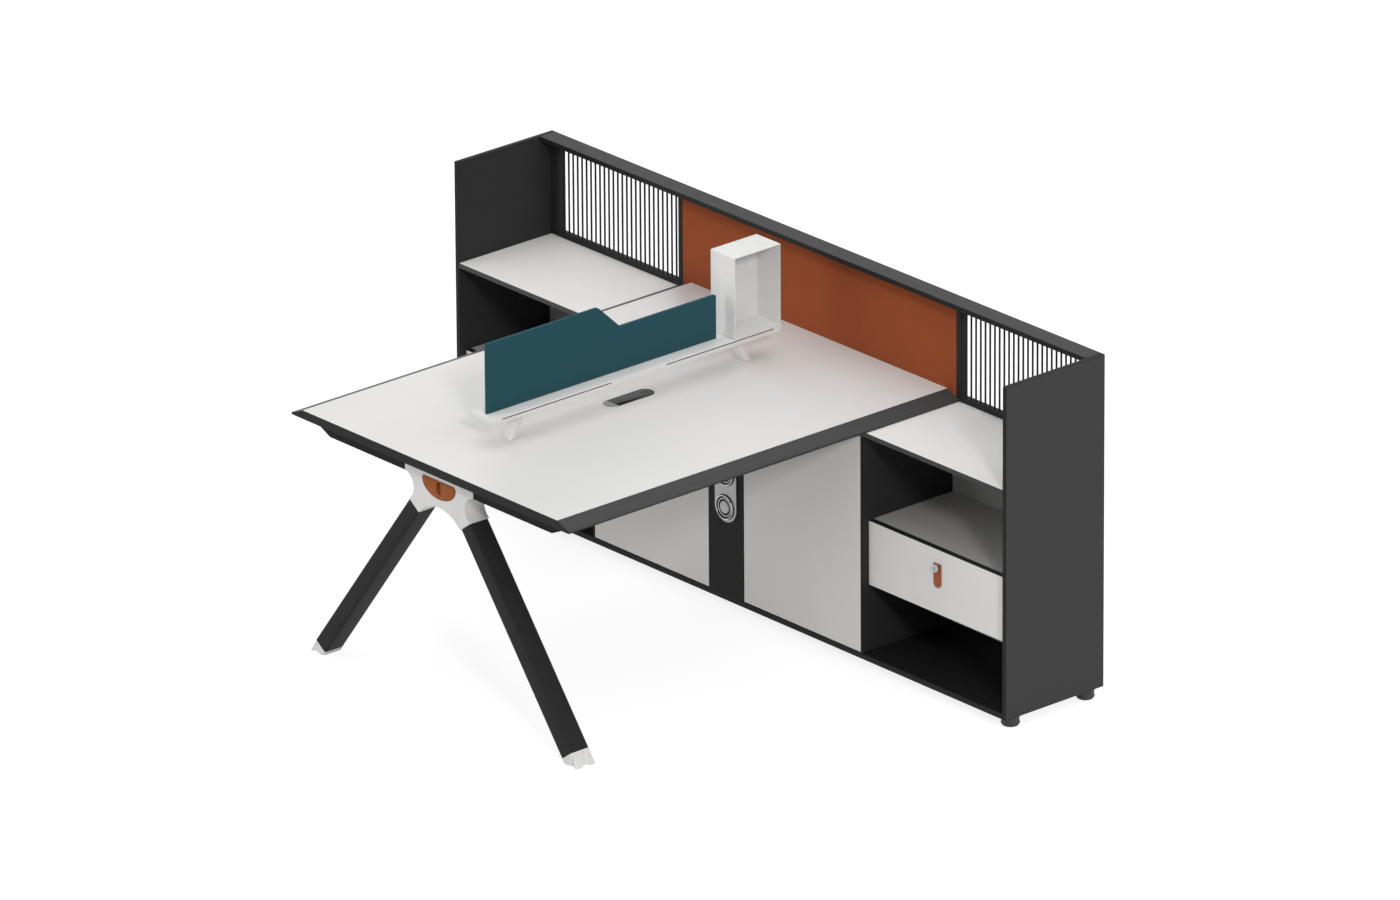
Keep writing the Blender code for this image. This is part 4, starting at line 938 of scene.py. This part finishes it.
def screens():
    """The stepped teal screen and the orange panel: wrapped boards with soft folded edges."""
    end = SCREEN_START + SCREEN_LENGTH
    outline = rounded([
        (SCREEN_START, SCREEN_BOTTOM, 0), (end, SCREEN_BOTTOM, 0), (end, SCREEN_LOW_TOP, SCREEN_CORNER),
        (SCREEN_APEX + SCREEN_SLOPE, SCREEN_LOW_TOP, SCREEN_CORNER), (SCREEN_APEX, SCREEN_TOP, 0.022),
        (SCREEN_START, SCREEN_TOP, SCREEN_CORNER)], 8)
    bm = eased(prism(outline, "x", -SCREEN_HALF, SCREEN_HALF), 0.0018, 4, 50)
    piece("teal_screen", bm, "teal_cloth", "desk_screen")
    bm = eased(block(*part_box("centre_panel")), 0.0016, 4)
    piece("orange_panel", bm, "orange_cloth", "centre_panel")


ROD_RADIUS = 0.003
ROD_PITCH = 0.020
ROD_COUNT = 26
ROD_SETBACK = 0.008
ROD_BITE = 0.004
BAR_NEAR = 0.0185
BAR_FAR = 0.0367
BAR_BOTTOM = 0.017
BAR_TOP = 0.0237


def grilles():
    """Upright rods welded into a flat-bar frame."""
    for name, side in SIDES:
        low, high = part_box(f"{name}_grille")
        near, far = sorted((abs(low.x), abs(high.x)))
        frame_box = (near, far, low.z, high.z)
        window = (near + BAR_NEAR, far - BAR_FAR, low.z + BAR_BOTTOM, high.z - BAR_TOP)
        rings = []
        for (start, end, bottom, top), level in (
                (frame_box, low.y), (frame_box, high.y), (window, high.y), (window, low.y)):
            loop = ((start, bottom), (end, bottom), (end, top), (start, top))
            rings.append([(side * u, level, v) for u, v in loop])
        bm = eased(skin(rings, "joined"), 0.0009, 2)
        first_x = (window[0] + window[1] - (ROD_COUNT - 1) * ROD_PITCH) / 2
        for step in range(ROD_COUNT):
            made = bmesh.ops.create_cone(
                bm, cap_ends=True, segments=16, radius1=ROD_RADIUS, radius2=ROD_RADIUS,
                depth=window[3] - window[2] + ROD_BITE)
            x = side * (first_x + step * ROD_PITCH)
            spot = (x, low.y + ROD_SETBACK, (window[2] + window[3]) / 2)
            bmesh.ops.translate(bm, vec=spot, verts=made["verts"])
        piece(f"{name}_rod_screen", bm, "black_metal", f"{name}_grille")


GLIDE_PROFILE = (
    (0, 0.0001), (0.0225, 0.0001), (0.0238, 0.0008), (0.0242, 0.004), (0.0258, 0.0048), (0.0272, 0.0058),
    (0.0275, 0.0075), (0.0275, 0.0105), (0.0268, 0.0113), (0.0262, 0.0121), (0.0262, 0.0245),
    (0.0275, 0.0262), (0.0275, 0.0296), (0.0268, 0.0306), (0, 0.0306))
RIB_LOW = 0.0118
RIB_HIGH = 0.025
RIB_COUNT = 16
RIB_SHARE = 0.02


def cabinet_feet():
    """Round glides: a rubber pad under a ribbed collar."""
    names = ["centre_foot"] + [f"{row}_{side}_foot" for row in ("front", "rear") for side, _ in SIDES]
    for name in names:
        low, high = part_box(name)
        x, y, _ = middle_of(low, high)
        bm = turned(GLIDE_PROFILE, (x, y, low.z), "z")
        for vert in bm.verts:
            arm = Vector((vert.co.x - x, vert.co.y - y))
            if RIB_LOW < vert.co.z - low.z < RIB_HIGH and arm.length > 0.02:
                turn = atan2(arm.y, arm.x) * RIB_COUNT
                inward = 1 - RIB_SHARE * (1 - cos(turn)) / 2
                vert.co.x = x + arm.x * inward
                vert.co.y = y + arm.y * inward
        piece(f"{name}_glide", bm, "dark_plastic", name)


# Each turned part of an outlet: its look and its (radius, height over the plate) points
OUTLET_PARTS = {
    "ring": ("satin_chrome", (
        (0.0345, 0.0012), (0.0345, 0.0008), (0.0365, 0), (0.0370, 0.0006), (0.0370, 0.0052),
        (0.0366, 0.0060), (0.0358, 0.0064), (0.0350, 0.0063), (0.0342, 0.0056), (0.0339, 0.0044),
        (0.0338, 0.0012))),
    "collar": ("cast_zinc", (
        (0.0250, 0.0012), (0.0292, 0.0012), (0.0292, 0.0034), (0.0288, 0.0041), (0.0280, 0.0044),
        (0.0262, 0.0044), (0.0254, 0.0041), (0.0250, 0.0034), (0.0250, 0.0012))),
    "dish": ("cast_zinc", (
        (0, 0.0012), (0.0188, 0.0012), (0.0188, 0.0034), (0.0184, 0.0042), (0.0174, 0.0046),
        (0.0160, 0.0046), (0.0150, 0.0042), (0.0140, 0.0040), (0, 0.0038))),
    # A near-black disc under the turned parts, a little wider than the ring: painted shade in the grooves
    # and round the ring's foot
    "groove": ("outlet_painted_shade", ((0, 0.0006), (0.0393, 0.0006), (0.0393, 0.0011), (0, 0.0011))),
}


def outlets():
    """The outlet plate with its two round outlets, turned with rims, grooves and a recessed disc."""
    low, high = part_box("outlet_plate")
    outline = stadium(high.x - low.x, high.z - low.z, (0, (low.z + high.z) / 2), 28)
    piece("outlet_cover", eased(prism(outline, "y", low.y, high.y), 0.0009), "cast_zinc", "outlet_plate")
    for name in ("lower", "upper"):
        low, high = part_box(f"{name}_outlet")
        x, _, z = middle_of(low, high)
        for part, (look, profile) in OUTLET_PARTS.items():
            bm = turned(profile, (x, high.y, z), sign=-1)
            piece(f"{name}_outlet_{part}", bm, look, f"{name}_outlet" if part == "ring" else None)


LID_THICK = 0.0022
LID_PLAY = 0.0005
LID_NOTCH = 0.013
FINGER_WIDTH = 0.010
FINGER_LENGTH = 0.026
FINGER_DEPTH = 0.0006


def lid_outline(clearance, notch):
    """The lid's edge: straight at the capped end, and round at the other."""
    reach = LID_HALF - clearance
    straight = LID_START + clearance
    corner = (reach, LID_ROUND)
    curve = arc(corner, (-reach, LID_ROUND), -reach, 24)
    return [(reach - notch, straight), corner, *curve, (-reach, straight)]


def grommet():
    """The cable grommet: a rounded flange, its shaft, a capped end and a hinged lid."""
    outline = stadium(GROMMET_WIDTH, GROMMET_LENGTH, GROMMET_CENTRE, 24)
    bm = prism(outline, "z", DESK_UNDERSIDE, GROMMET_TOP)
    ring = piece("grommet_body", bm, "grommet", "grommet_frame")
    carve(ring, prism(lid_outline(0, 0), "z", DESK_UNDERSIDE - PAST, GROMMET_TOP + PAST))
    soften(ring, 0.0006, 3, 40)
    bm = prism(lid_outline(LID_PLAY, LID_NOTCH), "z", GROMMET_TOP - LID_THICK, GROMMET_TOP)
    lid = piece("grommet_lid_plate", eased(bm, 0.0004, 2), "lid_plastic", "grommet_flap", "grommet_lid")
    finger = stadium(FINGER_WIDTH, FINGER_LENGTH, (0.0, LID_ROUND - 0.004))
    carve(lid, prism(finger, "z", GROMMET_TOP - FINGER_DEPTH, GROMMET_TOP + 0.01))


STRAP_NOTCH = 0.0015
STRAP_HOLE = 0.0098
STITCH_INSET = 0.0026
STITCH_PITCH = 0.0036
STITCH_SIZE = (0.0012, 0.00035, 0.0004)
STITCH_END = 0.012
LOCK_PROFILE = (
    (0, 0.0012), (0.0066, 0.0012), (0.0068, 0.0016), (0.0073, 0.0016), (0.0076, 0.0004), (0.0100, 0.0),
    (0.0112, 0.0004), (0.0119, 0.0013), (0.0120, 0.0024), (0.0120, 0.0092), (0.0116, 0.0099),
    (0.0095, 0.0100), (0.0095, 0.0358), (0, 0.0358))
KEYWAY_WIDTH = 0.0020
KEYWAY_LENGTH = 0.0100
CAM_HALF = 0.007
CAM_THICK = 0.002
CAM_FRONT = CABINET_FRONT + DRAWER_SETBACK + BOARD_THICK + GAP


def pulls_and_locks():
    """Leather tabs with a stitched border, each under a polished cam lock."""
    for name, _ in SIDES:
        low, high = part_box(f"{name}_drawer_pull")
        middle = (low.x + high.x) / 2
        half = (high.x - low.x) / 2
        lock_low, lock_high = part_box(f"{name}_drawer_lock")
        lock_z = (lock_low.z + lock_high.z) / 2
        shoulder = high.z - STRAP_NOTCH
        right = (middle + half, low.z + half)
        left = (middle - half, low.z + half)
        outline = [
            right, (right[0], shoulder), (right[0] - STRAP_NOTCH, high.z),
            (left[0] + STRAP_NOTCH, high.z), (left[0], shoulder), left, *arc(left, right, -half, 20)[:-1]]
        body = f"{name}_drawer"
        bm = prism(outline, "y", low.y, high.y)
        strap = piece(f"{name}_pull_strap", bm, "leather", f"{name}_drawer_pull", body)
        hole = ((0, 0), (STRAP_HOLE, 0), (STRAP_HOLE, 0.03), (0, 0.03))
        carve(strap, turned(hole, (middle, low.y - 0.01, lock_z), steps=48))
        soften(strap, 0.0007, 3, 40)
        reach = half - STITCH_INSET
        right = (middle + reach, low.z + half)
        left = (middle - reach, low.z + half)
        end_z = shoulder - STITCH_END
        path = [(right[0], end_z), right, *arc(right, left, reach, 24), (left[0], end_z)]
        stitches(f"{name}_pull_stitches", path, low.y + 0.0001, body)
        lock(name, middle, lock_z, lock_low)


def stitches(name, path, level, body):
    """Short saddle stitches, spread evenly on a path of (x, z) points."""
    lengths = [0.0]
    for first, second in zip(path, path[1:]):
        lengths.append(lengths[-1] + (Vector(second) - Vector(first)).length)
    count = int(lengths[-1] / STITCH_PITCH)
    bm = bmesh.new()
    for stitch in range(count):
        way = (stitch + 0.5) * lengths[-1] / count
        index = next(index for index in range(len(path) - 1) if lengths[index + 1] >= way)
        share = (way - lengths[index]) / (lengths[index + 1] - lengths[index])
        start, end = Vector(path[index]), Vector(path[index + 1])
        spot = start.lerp(end, share)
        turn = Matrix.Rotation(-atan2(end.y - start.y, end.x - start.x), 3, "Y")
        verts = bmesh.ops.create_uvsphere(bm, u_segments=8, v_segments=6, radius=1.0)["verts"]
        bmesh.ops.scale(bm, vec=STITCH_SIZE, verts=verts)
        bmesh.ops.rotate(bm, verts=verts, cent=(0, 0, 0), matrix=turn)
        bmesh.ops.translate(bm, vec=(spot.x, level, spot.y), verts=verts)
    piece(name, bm, "thread", body=body)


def lock(name, middle, lock_z, low):
    """A polished cylinder head with a turned plug and keyway, its barrel and its cam."""
    body = f"{name}_lock"
    bm = turned(LOCK_PROFILE, (middle, low.y, lock_z), steps=56)
    head = piece(f"{name}_lock_head", bm, "chrome", f"{name}_drawer_lock", body)
    keyway = stadium(KEYWAY_WIDTH, KEYWAY_LENGTH, (middle, lock_z), 8)
    carve(head, prism(keyway, "y", low.y - 0.002, low.y + 0.005))
    outline = rounded([
        (low.x, lock_z - CAM_HALF, 0.004), (middle + CAM_HALF, lock_z - CAM_HALF, 0.005),
        (middle + CAM_HALF, lock_z + CAM_HALF, 0.005), (low.x, lock_z + CAM_HALF, 0.004)])
    bm = eased(prism(outline, "y", CAM_FRONT, CAM_FRONT + CAM_THICK), 0.0003, 2, 50)
    piece(f"{name}_lock_cam", bm, "runner_steel", body=body)


FLOOR_HALF = 60.0
FLOOR_GLOW = 0.84
FLOOR_SEEN = (0.3, 0.3, 0.3)
FLOOR_BOUNCE = (0.6, 0.595, 0.59)
SKY_TONE = (0.995, 0.998, 1.0)
SKY_HORIZON = 0.18
SKY_OVERHEAD = 1.32


def empty_tree(owner):
    owner.use_nodes = True
    owner.node_tree.nodes.clear()
    return owner.node_tree


def add_shader(tree, kind, colour, **inputs):
    return add_node(tree, kind, {"Color": (*colour, 1.0), **inputs}).outputs[0]


def show(tree, output, plain, seen):
    """One shader for the rays of the camera, of gloss and of glass, and a plain one for the rest."""
    path = tree.nodes.new("ShaderNodeLightPath")
    factor = path.outputs["Is Camera Ray"]
    for name in ("Is Glossy Ray", "Is Transmission Ray"):
        factor = add_math(tree, "MAXIMUM", factor, path.outputs[name])
    choose = add_node(tree, "ShaderNodeMixShader", {0: factor, 1: plain, 2: seen})
    add_node(tree, output, {"Surface": choose.outputs[0]})


def stage():
    """A pale floor, a soft key from the right, a sky that is brighter overhead, and the camera."""
    bm = bmesh.new()
    bmesh.ops.create_grid(bm, x_segments=1, y_segments=1, size=FLOOR_HALF)
    floor = mesh_object("floor", bm)
    material = bpy.data.materials.new("floor_pale")
    tree = empty_tree(material)
    glow = add_shader(tree, "ShaderNodeEmission", (1, 1, 1), Strength=FLOOR_GLOW)
    pale = add_shader(tree, "ShaderNodeBsdfDiffuse", FLOOR_SEEN)
    seen = add_node(tree, "ShaderNodeAddShader", {0: glow, 1: pale}).outputs[0]
    bounce = add_shader(tree, "ShaderNodeBsdfDiffuse", FLOOR_BOUNCE)
    show(tree, "ShaderNodeOutputMaterial", bounce, seen)
    floor.data.materials.append(material)

    world = bpy.data.worlds.new("studio")
    tree = empty_tree(world)
    place = tree.nodes.new("ShaderNodeTexCoord").outputs["Generated"]
    direction = add_node(tree, "ShaderNodeSeparateXYZ", {0: place})
    above = add_math(tree, "MAXIMUM", direction.outputs["Z"], 0.0)
    square = add_math(tree, "MULTIPLY", above, above)
    strength = add_math(tree, "MULTIPLY_ADD", square, SKY_OVERHEAD, SKY_HORIZON)
    light = add_shader(tree, "ShaderNodeBackground", SKY_TONE, Strength=strength)
    white = add_shader(tree, "ShaderNodeBackground", (1, 1, 1), Strength=1.0)
    show(tree, "ShaderNodeOutputWorld", light, white)
    bpy.context.scene.world = world

    sun("key", 0.9, 8.0, (1.0, 0.985, 0.965), 30.0, (-0.88, 0.47))
    sun("fill", 0.5, 26.0, (1.0, 0.995, 0.985), 9.0, (0.42, 0.91))
    bpy.context.scene.view_settings.view_transform = "Standard"
    camera()


def sun(name, energy, softness, colour, elevation, heading):
    """A far lamp that shines along a heading, down from its elevation."""
    lamp = bpy.data.lights.new(name, "SUN")
    lamp.energy = energy
    lamp.angle = radians(softness)
    lamp.color = colour
    made = link_object(name, lamp)
    level = radians(elevation)
    flat = Vector(heading).normalized()
    travel = Vector((flat.x * cos(level), flat.y * cos(level), -sin(level)))
    made.rotation_mode = "QUATERNION"
    made.rotation_quaternion = travel.to_track_quat("-Z", "Y")


CAMERA_AZIMUTH = radians(48.785)
CAMERA_ELEVATION = radians(22.199)
CAMERA_ROLL = radians(-0.3698)
CAMERA_LENS = 388.77
SENSOR_WIDTH = 36
IMAGE_WIDTH = 1400
IMAGE_HEIGHT = 900
PIXEL_LENS = CAMERA_LENS / SENSOR_WIDTH * IMAGE_WIDTH
AIM_POINT = (0.0, CABINET_FRONT, 0.0)
AIM_PIXEL = (726.795, 610.254)
AIM_DEPTH = 43.9119


def camera():
    """A long lens, set so that the cabinet's foot line falls where the photograph has it."""
    east, north = cos(CAMERA_AZIMUTH), sin(CAMERA_AZIMUTH)
    flat = cos(CAMERA_ELEVATION)
    back = Vector((north * flat, -east * flat, sin(CAMERA_ELEVATION)))
    level = Vector((east, north, 0.0))
    upright = back.cross(level)
    right = cos(CAMERA_ROLL) * level + sin(CAMERA_ROLL) * upright
    up = -sin(CAMERA_ROLL) * level + cos(CAMERA_ROLL) * upright
    across = (AIM_PIXEL[0] - IMAGE_WIDTH / 2) / PIXEL_LENS * AIM_DEPTH
    rise = -(AIM_PIXEL[1] - IMAGE_HEIGHT / 2) / PIXEL_LENS * AIM_DEPTH
    place = Vector(AIM_POINT) - (across * right + rise * up - AIM_DEPTH * back)
    data = bpy.data.cameras.new("camera")
    data.lens = CAMERA_LENS
    data.sensor_width = SENSOR_WIDTH
    data.sensor_fit = "HORIZONTAL"
    data.clip_start = 1.0
    data.clip_end = 200.0
    made = link_object("camera", data)
    turn = Matrix((right, up, back)).transposed().to_4x4()
    made.matrix_world = Matrix.Translation(place) @ turn
    bpy.context.scene.camera = made


stage()
dress_boards()
dress_other_solids()
legs()
leg_feet()
leg_connector()
connector_insert()
bridge()
open_box()
screens()
grilles()
cabinet_feet()
outlets()
grommet()
pulls_and_locks()
